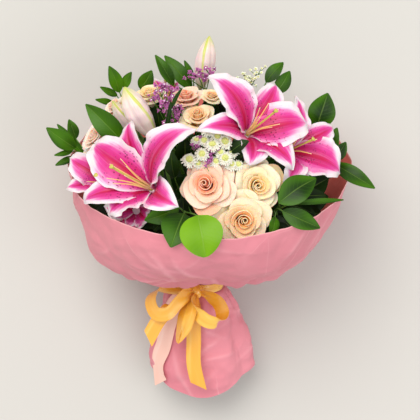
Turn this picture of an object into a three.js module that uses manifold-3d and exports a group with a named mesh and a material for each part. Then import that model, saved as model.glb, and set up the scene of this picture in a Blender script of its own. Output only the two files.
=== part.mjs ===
// A hand-tied mixed bouquet in pink wrapping paper, with lilies, roses, button chrysanthemums, statice and
// green foliage, tied with satin ribbon. It lies on its back: +Y runs from the cut stems to the flowers, +X
// is to the right as one looks down on it, and +Z points up from the surface that it lies on. All sizes are
// in millimetres. Places are given from a point on the surface under the flowers, and at the end the origin
// moves to the middle of the bouquet's outline on that surface.
import * as THREE from "three";
import { mergeVertices } from "three/addons/utils/BufferGeometryUtils.js";
import Module from "manifold-3d";

const wasm = await Module();
wasm.setup();

// The neck, where the ribbon binds the stems, and the ways that the stems run from it
const NECK = [-12, -85, 85];
const HEADS_WAY = [0.079, 0.93, 0.36];
const FEET_WAY = [0.02, -0.93, -0.36];
const STEM_PITCH = 6.4;
const STEM_RADIUS = 3.05;
const BUNDLE_RADIUS = 18.6;
const TWINE_RADIUS = 22;
const NECK_STRAIGHT = 16;
const TWINE_THICK = 1.3;

// The two sheets of wrapping paper
const PAPER_THICK = 1.3;
const NEARLY_FLAT = 0.4;
const COLLAR_NECK_RADIUS = 24.4;
const RIM_CENTRE = [0, 57, 140];
const RIM_RADIUS = 172;
const RIM_TILT = 31.5;
const CORNER_LEFT = 114;
const CORNER_RIGHT = 84;
const COLLAR_TURNS = 27;
const SKIRT_TURNS = 21;
const SKIRT_NECK_RADIUS = 26.3;
const SKIRT_HALF_WIDTH = 66;
const SKIRT_HALF_HEIGHT = 48;

// The ribbons
const KNOT = [-17, -100, 116];
const BOW_WIDTH = 16;
const PINK_WIDTH = 17;
const RIBBON_THICK = 0.9;
const BAND_RADIUS = 27.7;
const BAND_THICK = 0.9;

// The flowers and leaves
const GAP = 0.3;
const PETAL_THICK = 1.3;
const LEAF_THICK = 1.2;
const LEAF_FOLD = 0.16;
const LEAF_ARCH = 0.1;
const SMALL_LEAF = 15;
const ROSE_HEIGHT = 43;
const ROSE_FACE = 36.5;
const BRANCH_RADIUS = 1.9;
const LEAF_STALK_RADIUS = 1.6;
const DEGREES = Math.PI / 180;

const COLOURS = {
  paper: [0xe08c95, 0.8],
  twine: [0xb79a6b, 0.9],
  gold: [0xf0ae2c, 0.35],
  blush: [0xf9c9bb, 0.4],
  lily: [0xe0368c, 0.55],
  lilyHeart: [0xd9cf78, 0.5],
  lilyBud: [0xf0d3cb, 0.5],
  cream: [0xf6e2bd, 0.6],
  peach: [0xf6c7a8, 0.6],
  stem: [0x4f7a2c, 0.6],
  leaf: [0x3c7d24, 0.45],
  daisy: [0xf3f1dc, 0.6],
  statice: [0xa8479f, 0.7],
  filler: [0xe9e7c4, 0.7],
};

const at = (x, y, z) => new THREE.Vector3(x, y, z);
const lerp = THREE.MathUtils.lerp;
const clamp = THREE.MathUtils.clamp;
const smooth = (from, to, x) => THREE.MathUtils.smoothstep(x, from, to);

// Solids

function closedSolid(points, faces) {
  const places = new Float32Array(points.length * 3);
  points.forEach((p, i) => p.toArray(places, 3 * i));
  const make = (corners) =>
    new wasm.Manifold(
      new wasm.Mesh({ numProp: 3, vertProperties: places, triVerts: Uint32Array.from(corners) }),
    );
  const made = make(faces.flat());
  return made.volume() > 0 ? made : make(faces.flatMap(([a, b, c]) => [a, c, b]));
}

function solidOf(geometry) {
  const bare = geometry.clone();
  bare.deleteAttribute("normal");
  bare.deleteAttribute("uv");
  const merged = mergeVertices(bare, 1e-4);
  const spots = merged.attributes.position;
  const pointAt = (_, i) => new THREE.Vector3().fromBufferAttribute(spots, i);
  const points = Array.from({ length: spots.count }, pointAt);
  const corners = Array.from(merged.index.array);
  const faces = Array.from({ length: corners.length / 3 }, (_, i) => corners.slice(3 * i, 3 * i + 3));
  return closedSolid(points, faces);
}

const joined = (solids) => wasm.Manifold.union(solids);
const placed = (solid, matrix) => solid.transform(matrix.elements);

// A petal or leaf. rows are lines of points across it, from the root up. Its rim is a sharp edge, its two
// faces stand thick apart inside the rim, and both faces are split into the same triangles.
function blade(rows, tip, thick) {
  const last = rows.length - 1;
  const wide = rows[0].length - 1;
  const points = [];
  const faces = [];
  const front = rows.map(() => []);
  const back = rows.map(() => []);
  rows.forEach((row, i) =>
    row.forEach((p, j) => {
      const onRim = i === 0 || j === 0 || j === wide || (i === last && !tip);
      front[i][j] = points.push(p.clone()) - 1;
      back[i][j] = front[i][j];
      if (onRim) return;
      const along = (rows[i + 1] ? rows[i + 1][j] : tip).clone().sub(rows[i - 1][j]);
      const across = row[j + 1].clone().sub(row[j - 1]);
      const out = across.cross(along).setLength(thick / 2);
      points[front[i][j]].add(out);
      back[i][j] = points.push(p.clone().sub(out)) - 1;
    }),
  );
  for (const [side, turned] of [
    [front, false],
    [back, true],
  ]) {
    const add = (a, b, c) => faces.push(turned ? [a, c, b] : [a, b, c]);
    for (let i = 0; i < last; i++)
      for (let j = 0; j < wide; j++) {
        const [a, b, c, d] = [side[i][j], side[i + 1][j], side[i + 1][j + 1], side[i][j + 1]];
        const leftHalf = j < wide / 2;
        if (leftHalf !== (i === last - 1 && !tip)) {
          add(a, b, c);
          add(a, c, d);
        } else {
          add(a, b, d);
          add(b, c, d);
        }
      }
    if (tip) {
      const top = turned ? points.length - 1 : points.push(tip.clone()) - 1;
      for (let j = 0; j < wide; j++) add(side[last][j], top, side[last][j + 1]);
    }
  }
  return closedSolid(points, faces);
}

// A sheet that closes on itself, in rings of points from its foot up. Where it would sink into the surface
// that it lies on, or just clear it, it is pressed flat. Both faces are split into the same triangles.
function sleeve(rows, thick) {
  const last = rows.length - 1;
  const count = rows[0].length;
  const points = [];
  const faces = [];
  for (const side of [1, -1])
    rows.forEach((row, i) =>
      row.forEach((p, j) => {
        const along = rows[Math.min(i + 1, last)][j].clone().sub(rows[Math.max(i - 1, 0)][j]);
        const across = row[(j + 1) % count].clone().sub(row[(j + count - 1) % count]);
        const moved = p.clone().add(across.cross(along).setLength((side * thick) / 2));
        moved.z = Math.max(moved.z, side > 0 ? thick : 0);
        if (moved.z < NEARLY_FLAT) moved.z = 0;
        points.push(moved);
      }),
    );
  const spot = (side, i, j) => side * count * (last + 1) + i * count + (j % count);
  const quad = (a, b, c, d) => faces.push([a, b, c], [a, c, d]);
  for (let j = 0; j < count; j++) {
    for (let i = 0; i < last; i++) {
      quad(spot(0, i, j), spot(0, i + 1, j), spot(0, i + 1, j + 1), spot(0, i, j + 1));
      quad(spot(1, i, j), spot(1, i, j + 1), spot(1, i + 1, j + 1), spot(1, i + 1, j));
    }
    quad(spot(0, 0, j), spot(0, 0, j + 1), spot(1, 0, j + 1), spot(1, 0, j));
    quad(spot(0, last, j + 1), spot(0, last, j), spot(1, last, j), spot(1, last, j + 1));
  }
  return closedSolid(points, faces);
}

// A round bar along points, with its radius at each point and capped ends
function bar(points, radii, sides) {
  const spots = [];
  const faces = [];
  const count = points.length;
  const wayAt = (i) =>
    points[Math.min(i + 1, count - 1)]
      .clone()
      .sub(points[Math.max(i - 1, 0)])
      .normalize();
  let side = Math.abs(wayAt(0).z) < 0.9 ? at(0, 0, 1) : at(1, 0, 0);
  points.forEach((p, i) => {
    const way = wayAt(i);
    side = side.clone().addScaledVector(way, -side.dot(way)).normalize();
    const other = way.clone().cross(side);
    for (let k = 0; k < sides; k++) {
      const turn = (2 * Math.PI * k) / sides;
      spots.push(
        p
          .clone()
          .addScaledVector(side, radii[i] * Math.cos(turn))
          .addScaledVector(other, radii[i] * Math.sin(turn)),
      );
    }
  });
  for (let k = 0; k < sides; k++) {
    const next = (k + 1) % sides;
    for (let i = 0; i < count - 1; i++) {
      const [a, b] = [i * sides + k, i * sides + next];
      faces.push([a, b, b + sides], [a, b + sides, a + sides]);
    }
    const end = (count - 1) * sides;
    if (k > 0 && next > 0) faces.push([0, next, k], [end, end + k, end + next]);
  }
  return closedSolid(spots, faces);
}

const curved = (corners, steps) =>
  new THREE.CatmullRomCurve3(
    corners.map((c) => (c.isVector3 ? c : at(...c))),
    false,
    "centripetal",
  ).getPoints(steps);

// A flat strip of ribbon along corners, each a place and the way of its width, which gathers towards the knot
function strip(corners, steps, wide, thick) {
  const line = curved(corners.map(([place]) => place), steps);
  const ways = curved(corners.map(([, way]) => at(...way).normalize()), steps);
  const spots = [];
  const faces = [];
  line.forEach((p, i) => {
    const along = line[Math.min(i + 1, steps)].clone().sub(line[Math.max(i - 1, 0)]).normalize();
    const spread = lerp(0.4, 1, smooth(3, 26, p.distanceTo(at(...KNOT))));
    const across = ways[i].clone().addScaledVector(along, -ways[i].dot(along)).setLength((spread * wide) / 2);
    const up = along.clone().cross(across).setLength(thick / 2);
    for (const [s, t] of [
      [1, 1],
      [-1, 1],
      [-1, -1],
      [1, -1],
    ])
      spots.push(p.clone().addScaledVector(across, s).addScaledVector(up, t));
  });
  for (let i = 0; i < steps; i++)
    for (let k = 0; k < 4; k++) {
      const [a, b] = [4 * i + k, 4 * i + ((k + 1) % 4)];
      faces.push([a, b, b + 4], [a, b + 4, a + 4]);
    }
  const end = 4 * steps;
  faces.push([0, 2, 1], [0, 3, 2], [end, end + 1, end + 2], [end, end + 2, end + 3]);
  return closedSolid(spots, faces);
}

// The matrix that stands a bloom's own frame at base, with its +Z along facing and its +X near the world's +X
function standing(base, facing, roll = 0, scale = 1) {
  const z = at(...facing).normalize();
  const x = at(0, 1, 0).cross(z).normalize();
  const y = z.clone().cross(x);
  return new THREE.Matrix4()
    .makeBasis(x, y, z)
    .setPosition(...base)
    .multiply(new THREE.Matrix4().makeRotationZ(roll * DEGREES))
    .multiply(new THREE.Matrix4().makeScale(scale, scale, scale));
}

// Lilies

const TEPAL_ROOT = 3.5;
const TEPAL_START = 20;
const CORE_TOP = 10;

// The midline of a tepal at share u of its length: distance from the axis, height and lean from the axis
function tepalMidline(length, open, u) {
  const steps = 24;
  let [out, up] = [TEPAL_ROOT, 0];
  const lean = (s) => (TEPAL_START + open * s ** 1.3) * DEGREES;
  for (let k = 0; k < steps; k++) {
    const s = (u * (k + 0.5)) / steps;
    out += (Math.sin(lean(s)) * length * u) / steps;
    up += (Math.cos(lean(s)) * length * u) / steps;
  }
  return [out, up, lean(u)];
}

function tepal({ length, width, turn, open, inner, steps, columns, phase }) {
  const point = (u, v) => {
    const [out, up, lean] = tepalMidline(length, open, u);
    const half = (width / 2) * (0.17 * (1 - u) + 0.98 * Math.sin(Math.PI * u ** 0.82) ** 0.85);
    const flat = smooth(0.08, 0.4, u);
    const aside = v * half;
    const far = lerp(out, Math.hypot(out, aside), flat) + (inner ? 0 : 0.9) * (1 - u);
    const angle = turn * DEGREES + Math.atan2(aside, out);
    const cup = 0.3 * half * v * v * Math.sin(Math.PI * clamp(u * 1.1, 0, 1));
    const ripple = Math.sin(2 * Math.PI * 1.6 * u + phase + (v > 0 ? 1.3 : 0));
    const wave = (inner ? 2.4 : 1.2) * v * v * ripple * smooth(0.15, 0.4, u);
    const groove = -2.2 * (1 - Math.abs(v)) ** 2 * smooth(0.05, 0.3, u) * (1 - u);
    const raise = cup + wave + groove + (inner ? 1.2 : -1.2) * smooth(0, 0.14, u);
    const r = far - raise * Math.cos(lean);
    return at(r * Math.cos(angle), r * Math.sin(angle), 4 + up + raise * Math.sin(lean));
  };
  const across = Array.from({ length: columns + 1 }, (_, j) => (2 * j) / columns - 1);
  const row = (_, i) => across.map((v) => point(i / steps, v));
  return blade(Array.from({ length: steps }, row), point(1, 0), PETAL_THICK);
}

function lathe(profile, sides) {
  const outline = profile.map(([r, z]) => new THREE.Vector2(r, z));
  return solidOf(new THREE.LatheGeometry(outline, sides).rotateX(Math.PI / 2));
}

// The petals of one lily as one body, in its own frame with its root at the origin
function lilyPetals({ length, width, open, tepals, steps, columns }) {
  const made = [lathe([[0, 0], [3, 0], [6.4, 5], [5.4, CORE_TOP], [0, CORE_TOP]], 6)];
  tepals.forEach(([turn, longer, wider, bend], k) => {
    const inner = k % 2 === 0;
    made.push(
      tepal({
        length: length * longer,
        width: width * wider * (inner ? 1 : 0.74),
        turn,
        open: open + bend + (inner ? 0 : 6),
        inner,
        steps,
        columns,
        phase: 1.7 * k,
      }),
    );
  });
  return joined(made);
}

// The pistil and the bare filaments of one lily as one body, which stands on its petals' root
function lilyHeart({ length, filaments, reach: share }) {
  const foot = CORE_TOP + GAP;
  const made = [lathe([[0, foot], [3.2, foot], [0, foot + 7]], 6)];
  const reach = share * length;
  const pistil = [at(0, 0, foot + 2), at(0.5, 0.2, foot + 0.5 * reach), at(2, 1, foot + 0.94 * reach)];
  const stigma = [at(2.5, 1.4, foot + 0.98 * reach), at(2.6, 1.6, foot + reach)];
  made.push(bar([...pistil, ...stigma], [1.5, 1.2, 1.4, 3, 2.4], 4));
  for (let k = 0; k < filaments; k++) {
    const turn = ((360 * k) / filaments + 25) * DEGREES;
    const spread = (r, z) => at(r * Math.cos(turn), r * Math.sin(turn), foot + z);
    made.push(bar([spread(1.4, 2), spread(6, 0.42 * reach), spread(15, 0.84 * reach)], [1.4, 1, 0.6], 3));
  }
  return joined(made);
}

// A closed lily bud, three-cornered and drawn to a point
function lilyBud(length, radius) {
  const sides = 9;
  const swell = [
    [0, 0.32],
    [0.14, 0.62],
    [0.34, 0.93],
    [0.52, 1],
    [0.7, 0.86],
    [0.86, 0.52],
  ];
  const points = [at(0, 0, 0)];
  for (const [u, share] of swell)
    for (let k = 0; k < sides; k++) {
      const turn = (2 * Math.PI * k) / sides;
      const r = radius * share * (1 + 0.1 * Math.cos(3 * turn));
      points.push(at(r * Math.cos(turn), r * Math.sin(turn), length * u));
    }
  const tip = points.push(at(0, 0, length)) - 1;
  const faces = [];
  const top = 1 + (swell.length - 1) * sides;
  for (let k = 0; k < sides; k++) {
    const next = (k + 1) % sides;
    faces.push([0, 1 + next, 1 + k], [tip, top + k, top + next]);
    for (let i = 0; i < swell.length - 1; i++) {
      const [a, b] = [1 + i * sides + k, 1 + i * sides + next];
      faces.push([a, b, b + sides], [a, b + sides, a + sides]);
    }
  }
  return closedSolid(points, faces);
}

// Roses

// A rose petal's line at share t of its height, from the closed heart (open 0) to the guard petals (open 1)
function rosePetalLine(open, t) {
  const belly = lerp(4.5, 21, open) * (1 - (1 - t) ** 2.2);
  const flare = lerp(-3, 8.5, open) * t ** 5;
  const rise = lerp(ROSE_HEIGHT - 4, 34, open) * t ** 0.9;
  const droop = lerp(0, 8, open) * t ** 6;
  return [lerp(2.5, 5, open) + belly + flare, 4 + rise - droop];
}

function rosePetal({ open, turn, half, spiral, steps }) {
  const point = (t, v) => {
    const high = t * (1 - 0.2 * Math.abs(v) ** 2.5);
    const [r, z] = rosePetalLine(open + spiral * v, high);
    const angle = (turn + half * v * lerp(0.4, 1, smooth(0, 0.3, t))) * DEGREES;
    return at(r * Math.cos(angle), r * Math.sin(angle), z);
  };
  const row = (_, i) => [-1, -0.36, 0.36, 1].map((v) => point(i / steps, v));
  return blade(Array.from({ length: steps + 1 }, row), null, PETAL_THICK);
}

// Rings of petals from the heart out: [petals, opening, half width in degrees, spiral]
const FULL_ROSE = [[3, 0.12, 64, 0.1], [3, 0.5, 63, 0.1], [5, 0.94, 40, 0.06]];
const PLAIN_ROSE = [[2, 0.2, 88, 0.12], [4, 0.88, 50, 0.08]];

function rose({ rings, steps }) {
  const made = [lathe([[0, 0], [3, 0], [6.2, 4], [5.6, 8], [2.6, 12], [4.4, 29], [0, 37]], 6)];
  rings.forEach(([petals, open, half, spiral], ring) => {
    for (let k = 0; k < petals; k++)
      made.push(rosePetal({ open, turn: (360 * k) / petals + 47 * ring, half, spiral, steps }));
  });
  return joined(made);
}

// Small flowers

// A small flower with its three-cornered stalk: pointed rays round a domed heart, facing along way at tip, on
// a stalk that starts at from. rings lists it from its rays inwards: [share of the radius, notch, height].
function starFlower({ rays, radius, stalk, rings, dome }, from, tip, way, turned) {
  const stand = standing(tip, way, turned);
  const stalkWay = at(...tip).sub(from).normalize();
  const leanTo = new THREE.Quaternion().setFromUnitVectors(at(...way).normalize(), stalkWay);
  const points = [];
  const faces = [];
  const edge = (turn, r, z) => at(r * Math.cos(2 * Math.PI * turn), r * Math.sin(2 * Math.PI * turn), z);
  for (let k = 0; k < 3; k++) {
    const corner = edge(k / 3, 1, 0).transformDirection(stand).applyQuaternion(leanTo);
    points.push(corner.multiplyScalar(stalk).add(from));
  }
  for (let k = 0; k < 3; k++) points.push(edge(k / 3, stalk, -0.5 * radius).applyMatrix4(stand));
  const count = 2 * rays;
  for (const [share, notch, height] of rings)
    for (let k = 0; k < count; k++) {
      const sunk = k % 2 ? notch : 0;
      const ray = edge(k / count, radius * (share - sunk), radius * (height - 0.5 * sunk));
      points.push(ray.applyMatrix4(stand));
    }
  const top = points.push(at(0, 0, dome * radius).applyMatrix4(stand)) - 1;
  faces.push([0, 2, 1]);
  for (let k = 0; k < 3; k++) {
    const next = (k + 1) % 3;
    faces.push([k, next, 3 + next], [k, 3 + next, 3 + k]);
  }
  const start = 6 + count * (rings.length - 1);
  for (let k = 0; k < count; k++) {
    const next = (k + 1) % count;
    const corner = 3 + Math.floor((3 * k) / count);
    const after = 3 + Math.floor((3 * (k + 1)) / count) % 3;
    faces.push([corner, 6 + next, 6 + k]);
    if (after !== corner) faces.push([corner, after, 6 + next]);
    for (let i = 6; i < start; i += count) {
      faces.push([i + k, i + next, i + next + count], [i + k, i + next + count, i + k + count]);
    }
    faces.push([start + k, start + next, top]);
  }
  return closedSolid(points, faces);
}

const BUTTON = { rays: 7, radius: 9.6, stalk: 1, rings: [[1, 0.3, 0.3], [0.42, 0, 0.5]], dome: 0.68 };
const SMALL_BUTTON = { ...BUTTON, radius: 7.2 };
const FLORET = { rays: 5, radius: 5.8, stalk: 0.8, rings: [[1, 0.5, 0.4]], dome: 0.15 };
const FILLER = { ...FLORET, radius: 4.4 };

// Leaves

// A leaf from root to tip, wide across, whose front looks towards facing, on a leafstalk that starts at from.
// Its halves fold up along the midrib, and it arches along its length.
function leaf(from, root, tip, wide, facing) {
  const [start, end] = [at(...root), at(...tip)];
  const along = end.clone().sub(start);
  const length = along.length();
  const across = along.clone().cross(at(...facing)).normalize();
  const up = across.clone().cross(along).normalize();
  const point = (u, v) => {
    const half = LEAF_THICK + (wide / 2 - LEAF_THICK) * Math.sin(Math.PI * u ** 0.86) ** 0.85;
    const lift = LEAF_FOLD * half * Math.abs(v) + LEAF_ARCH * length * Math.sin(Math.PI * u);
    return start
      .clone()
      .addScaledVector(along, u)
      .addScaledVector(across, v * half)
      .addScaledVector(up, lift);
  };
  const stalk = [-1, 0, 1].map((v) => from.clone().addScaledVector(across, v * LEAF_THICK));
  const shares = wide < SMALL_LEAF ? [0, 0.3, 0.7] : [0, 0.22, 0.5, 0.8];
  const rows = shares.map((u) => [-1, 0, 1].map((v) => point(u, v)));
  return blade([stalk, ...rows], point(1, 0), LEAF_THICK);
}

// What grows where

// Where each lily grows: root, facing, tepal length and width, opening, rows of corners along and columns
// across a tepal, filaments and their reach, and [turn, longer, wider, bend] of each tepal, the wide inner
// ones and the narrow outer ones by turns
const LILIES = {
  left: {
    root: [-62, 22, 236], facing: [-0.6, 0.3, 0.74], length: 100, width: 48, open: 96,
    steps: 5, columns: 4, filaments: 6, reach: 0.78,
    tepals: [
      [42, 1.22, 0.98, 20], [110, 1.02, 1, 0], [148, 1.06, 1.22, 0], [200, 1.02, 0.95, 0], [226, 0.68, 1, 0],
      [334, 0.74, 1.1, 32],
    ],
  },
  right: {
    root: [39, 86, 214], facing: [0.44, 0.34, 0.8], length: 88, width: 46, open: 96,
    steps: 5, columns: 4, filaments: 6, reach: 0.78,
    tepals: [
      [2, 0.98, 1.2, 0], [56, 0.98, 1.1, 0], [134, 1.16, 1.1, 4], [184, 1.16, 0.95, 12], [252, 0.68, 1, 0],
      [306, 0.96, 1.2, 0],
    ],
  },
  far_left: {
    root: [-110, 28, 204], facing: [-0.55, 0.25, 0.8], length: 74, width: 38, open: 84,
    steps: 3, columns: 4, filaments: 2, reach: 0.5,
    tepals: [
      [152, 0.94, 0.95, 0], [192, 0.9, 0.8, 0], [30, 0.4, 0.8, 0], [90, 0.45, 0.9, 0], [256, 0.4, 0.9, 0],
      [322, 0.4, 0.9, 0],
    ],
  },
  far_right: {
    root: [86, 68, 190], facing: [0.62, 0.26, 0.74], length: 82, width: 45, open: 92,
    steps: 3, columns: 4, filaments: 3, reach: 0.55,
    tepals: [
      [326, 0.97, 1.25, 0], [22, 1, 0.9, 2], [84, 0.92, 0.65, 6], [160, 0.4, 0.8, 0], [238, 0.82, 0.8, 14],
      [286, 0.6, 0.9, 0],
    ],
  },
  top: {
    root: [-54, 124, 134], facing: [-0.05, 0.8, 0.6], length: 38, width: 26, open: 80,
    steps: 3, columns: 2, filaments: 3, reach: 0.78,
    tepals: [
      [0, 0.85, 1, 0], [60, 1, 1, 0], [120, 1, 1, 0], [180, 1, 1, 0], [240, 0.9, 1, 0], [300, 0.7, 1, 0],
    ],
  },
  low_left: {
    root: [-84, 2, 222], facing: [-0.3, -0.25, 0.92], length: 46, width: 34, open: 70,
    steps: 3, columns: 2, filaments: 0,
    tepals: [
      [164, 0.92, 0.8, 4], [214, 0.66, 1, 0], [330, 0.5, 1, 0], [32, 0.86, 0.8, 0], [90, 0.5, 1, 0],
      [270, 0.6, 1, 0],
    ],
  },
};

const LILY_BUDS = {
  top: { root: [-12, 148, 138], facing: [0.17, 0.95, 0.24], length: 66, radius: 12 },
  left: { root: [-68, 88, 202], facing: [-0.44, 0.76, 0.48], length: 74, radius: 15 },
  left_small: { root: [-88, 88, 178], facing: [-0.5, 0.74, 0.42], length: 56, radius: 9 },
};

// Each lily stem carries a first bloom or bud, and others on side branches
const LILY_STEMS = {
  left: [LILIES.left, LILY_BUDS.left, LILY_BUDS.left_small],
  right: [LILIES.right, LILIES.far_right],
  far_left: [LILIES.far_left, LILIES.low_left],
  top: [LILIES.top, LILY_BUDS.top],
};

// Where each rose opens: the middle of its face, the way that it faces, its roll, scale, form and colour
const full = { rings: FULL_ROSE, steps: 3 };
const plain = { rings: PLAIN_ROSE, steps: 2 };
const ROSES = Object.fromEntries(
  [
    ["front_peach", [-3, 29, 268], [-0.12, 0.12, 0.98], 20, 0.93, full, "peach"],
    ["front_cream", [58, 32, 254], [0.3, 0.1, 0.95], 70, 0.94, full, "cream"],
    ["front_low", [36, -20, 262], [0.05, -0.36, 0.93], 0, 1, full, "cream"],
    ["top_middle", [-15, 113, 227], [-0.1, 0.62, 0.78], 10, 0.68, plain, "peach"],
    ["top_back", [-28, 139, 207], [-0.1, 0.8, 0.6], 40, 0.62, plain, "peach"],
    ["top_right", [3, 138, 213], [0.15, 0.75, 0.62], 80, 0.44, plain, "peach"],
    ["top_left", [-75, 142, 190], [-0.2, 0.8, 0.56], 60, 0.68, plain, "cream"],
    ["left", [-142, 92, 176], [-0.72, 0.5, 0.46], 0, 0.84, plain, "peach"],
    ["left_top", [-115, 129, 170], [-0.55, 0.72, 0.42], 30, 0.66, plain, "peach"],
  ].map(([name, face, facing, roll, scale, form, colour]) => {
    const root = at(...face).addScaledVector(at(...facing).normalize(), -ROSE_FACE * scale);
    return [name, { root: root.toArray(), facing, roll, scale, form, colour }];
  }),
);

// Small flowers: each spray's hub, its heads, the way that they face, and their form
const SPRAYS = {
  daisy_spray: {
    hub: [0, 52, 196],
    tips: [
      [-2, 91, 262], [17, 79, 262], [3, 74, 267], [-9, 64, 266], [18, 59, 264], [-24, 57, 262], [24, 52, 258],
      [10, 95, 256], [-15, 80, 260], [32, 52, 254],
    ],
    facing: [0.03, 0.4, 0.9],
    flower: (k) => (k < 6 ? BUTTON : SMALL_BUTTON),
    colour: "daisy",
  },
  statice_left: {
    hub: [-52, 104, 180],
    tips: [
      [-68, 134, 212], [-57, 124, 224], [-58, 139, 212], [-50, 128, 222], [-53, 117, 226], [-43, 121, 224],
      [-53, 146, 210], [-36, 118, 226], [-44, 115, 228], [-48, 105, 228], [-38, 107, 228], [-48, 140, 214],
    ],
    facing: [-0.15, 0.6, 0.78],
    flower: () => FLORET,
    colour: "statice",
  },
  statice_top: {
    hub: [-6, 148, 150],
    tips: [[-24, 162, 180], [-14, 166, 178], [-6, 160, 184], [0, 167, 178]],
    facing: [0, 0.7, 0.7],
    flower: () => FLORET,
    colour: "statice",
  },
  filler_spray: {
    hub: [38, 134, 150],
    tips: [[35, 156, 176], [42, 164, 175], [49, 158, 178], [56, 165, 174]],
    facing: [0, 0.6, 0.8],
    flower: () => FILLER,
    colour: "filler",
  },
};

// Foliage: the top of each stalk, and [root, tip, width, facing] of each leaf on it
const FOLIAGE = {
  left: {
    top: [-150, 66, 150],
    leaves: [
      [[-162, 74, 160], [-197, 99, 172], 21, [-0.2, 0.1, 1]],
      [[-153, 68, 158], [-185, 104, 156], 12, [-0.3, 0.2, 0.9]],
      [[-162, 86, 164], [-170, 109, 172], 14, [0.2, 0.1, 1]],
      [[-166, 72, 156], [-188, 66, 165], 7, [0, 0, 1]],
      [[-166, 64, 151], [-187, 54, 160], 9, [-0.1, 0.1, 1]],
    ],
  },
  left_wide: { top: [-88, 62, 186], leaves: [[[-99, 76, 200], [-148, 126, 198], 28, [-0.2, 0, 1]]] },
  left_top: {
    top: [-102, 122, 130],
    leaves: [
      [[-110, 143, 148], [-122, 174, 162], 17, [0.2, 0, 1]],
      [[-104, 148, 150], [-95, 167, 160], 12, [-0.3, 0, 1]],
      [[-113, 139, 146], [-133, 149, 158], 9, [0, 0, 1]],
      [[-118, 130, 138], [-139, 134, 152], 8, [0, 0, 1]],
    ],
  },
  top_left: { top: [-86, 126, 158], leaves: [[[-84, 146, 166], [-70, 168, 174], 19, [0.3, 0, 1]]] },
  top: {
    top: [-20, 142, 138],
    leaves: [
      [[-34, 158, 156], [-65, 187, 163], 20, [0.4, 0.1, 0.9]],
      [[-22, 152, 154], [-56, 187, 152], 26, [-0.1, 0.1, 1]],
      [[-20, 160, 152], [-31, 181, 158], 8, [0, 0, 1]],
    ],
  },
  right_top: {
    top: [62, 138, 168],
    leaves: [
      [[67, 153, 182], [88, 177, 180], 17, [-0.3, 0, 1]],
      [[78, 140, 176], [96, 167, 174], 19, [0.3, 0, 1]],
    ],
  },
  right: {
    top: [132, 66, 150],
    leaves: [
      [[128, 98, 166], [142, 141, 168], 34, [0.1, -0.2, 1]],
      [[143, 62, 172], [153, 99, 172], 19, [-0.3, 0, 1]],
      [[148, 60, 164], [164, 82, 166], 17, [0.3, 0, 1]],
      [[150, 56, 166], [198, 26, 178], 21, [0.1, 0.2, 1]],
    ],
  },
  front_right: {
    top: [82, 4, 226],
    leaves: [
      [[80, 8, 252], [124, 37, 242], 33, [-0.1, 0.1, 1]],
      [[84, -1, 258], [128, -21, 257], 23, [0.1, 0, 1]],
      [[94, 8, 238], [158, 12, 213], 7, [0.2, 0, 1]],
      [[76, -8, 244], [70, -31, 256], 13, [0.4, 0.2, 0.8]],
    ],
  },
  middle: {
    top: [40, 56, 200],
    leaves: [
      [[46, 72, 230], [26, 80, 238], 13, [0.2, -0.2, 1]],
      [[38, 62, 232], [40, 44, 240], 10, [-0.2, 0, 1]],
    ],
  },
  inner_left: {
    top: [-34, 22, 204],
    leaves: [
      [[-22, -4, 236], [0, -26, 250], 20, [0.2, 0, 1]],
      [[-32, 16, 222], [-30, -8, 230], 14, [-0.4, 0.2, 1]],
      [[-42, 38, 220], [-46, 70, 222], 18, [-0.2, 0.2, 1]],
      [[-44, -2, 222], [-66, -24, 242], 20, [-0.1, 0, 1]],
    ],
  },
  inner_top: {
    top: [-24, 78, 186],
    leaves: [
      [[-42, 94, 202], [-52, 82, 220], 9, [0, 0, 1]],
      [[-26, 88, 206], [-34, 80, 232], 14, [-0.2, 0.2, 1]],
      [[-10, 84, 204], [12, 102, 220], 14, [0.1, 0, 1]],
      [[-20, 66, 201], [-14, 40, 207], 22, [0, 0, 1]],
    ],
  },
  inner_right: {
    top: [94, 20, 196],
    leaves: [
      [[98, 16, 214], [138, 18, 196], 18, [0.1, 0.2, 1]],
      [[86, 34, 214], [78, 60, 216], 18, [0, 0, 1]],
    ],
  },
  front: {
    top: [-30, -2, 246],
    leaves: [
      [[-14, -6, 282], [-5, -54, 290], 50, [0, -0.1, 1]],
      [[-32, -8, 268], [-44, -43, 289], 26, [-0.2, -0.2, 1]],
      [[-36, 4, 254], [-76, -12, 264], 24, [0.1, -0.1, 1]],
    ],
  },
};

// Stems

const neck = at(...NECK);
const headsWay = at(...HEADS_WAY).normalize();
const feetWay = at(...FEET_WAY).normalize();

// The ring around the neck: sideways and towards the viewer, both square to the stems
const neckSide = at(0, 0, 1).cross(headsWay).negate().normalize();
const neckFront = neckSide.clone().cross(headsWay).normalize();

// Slots in a honeycomb across the neck, around the middle of three of them
function stemSlots() {
  const slots = [];
  for (let row = -4; row <= 4; row++)
    for (let column = -4; column <= 4; column++) {
      const x = STEM_PITCH * (column + (row % 2 ? 0.5 : 0) - 0.5);
      const y = STEM_PITCH * (row * Math.sqrt(0.75) - Math.sqrt(1 / 12));
      if (Math.hypot(x, y) < BUNDLE_RADIUS) slots.push([x, y]);
    }
  return slots;
}

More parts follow.
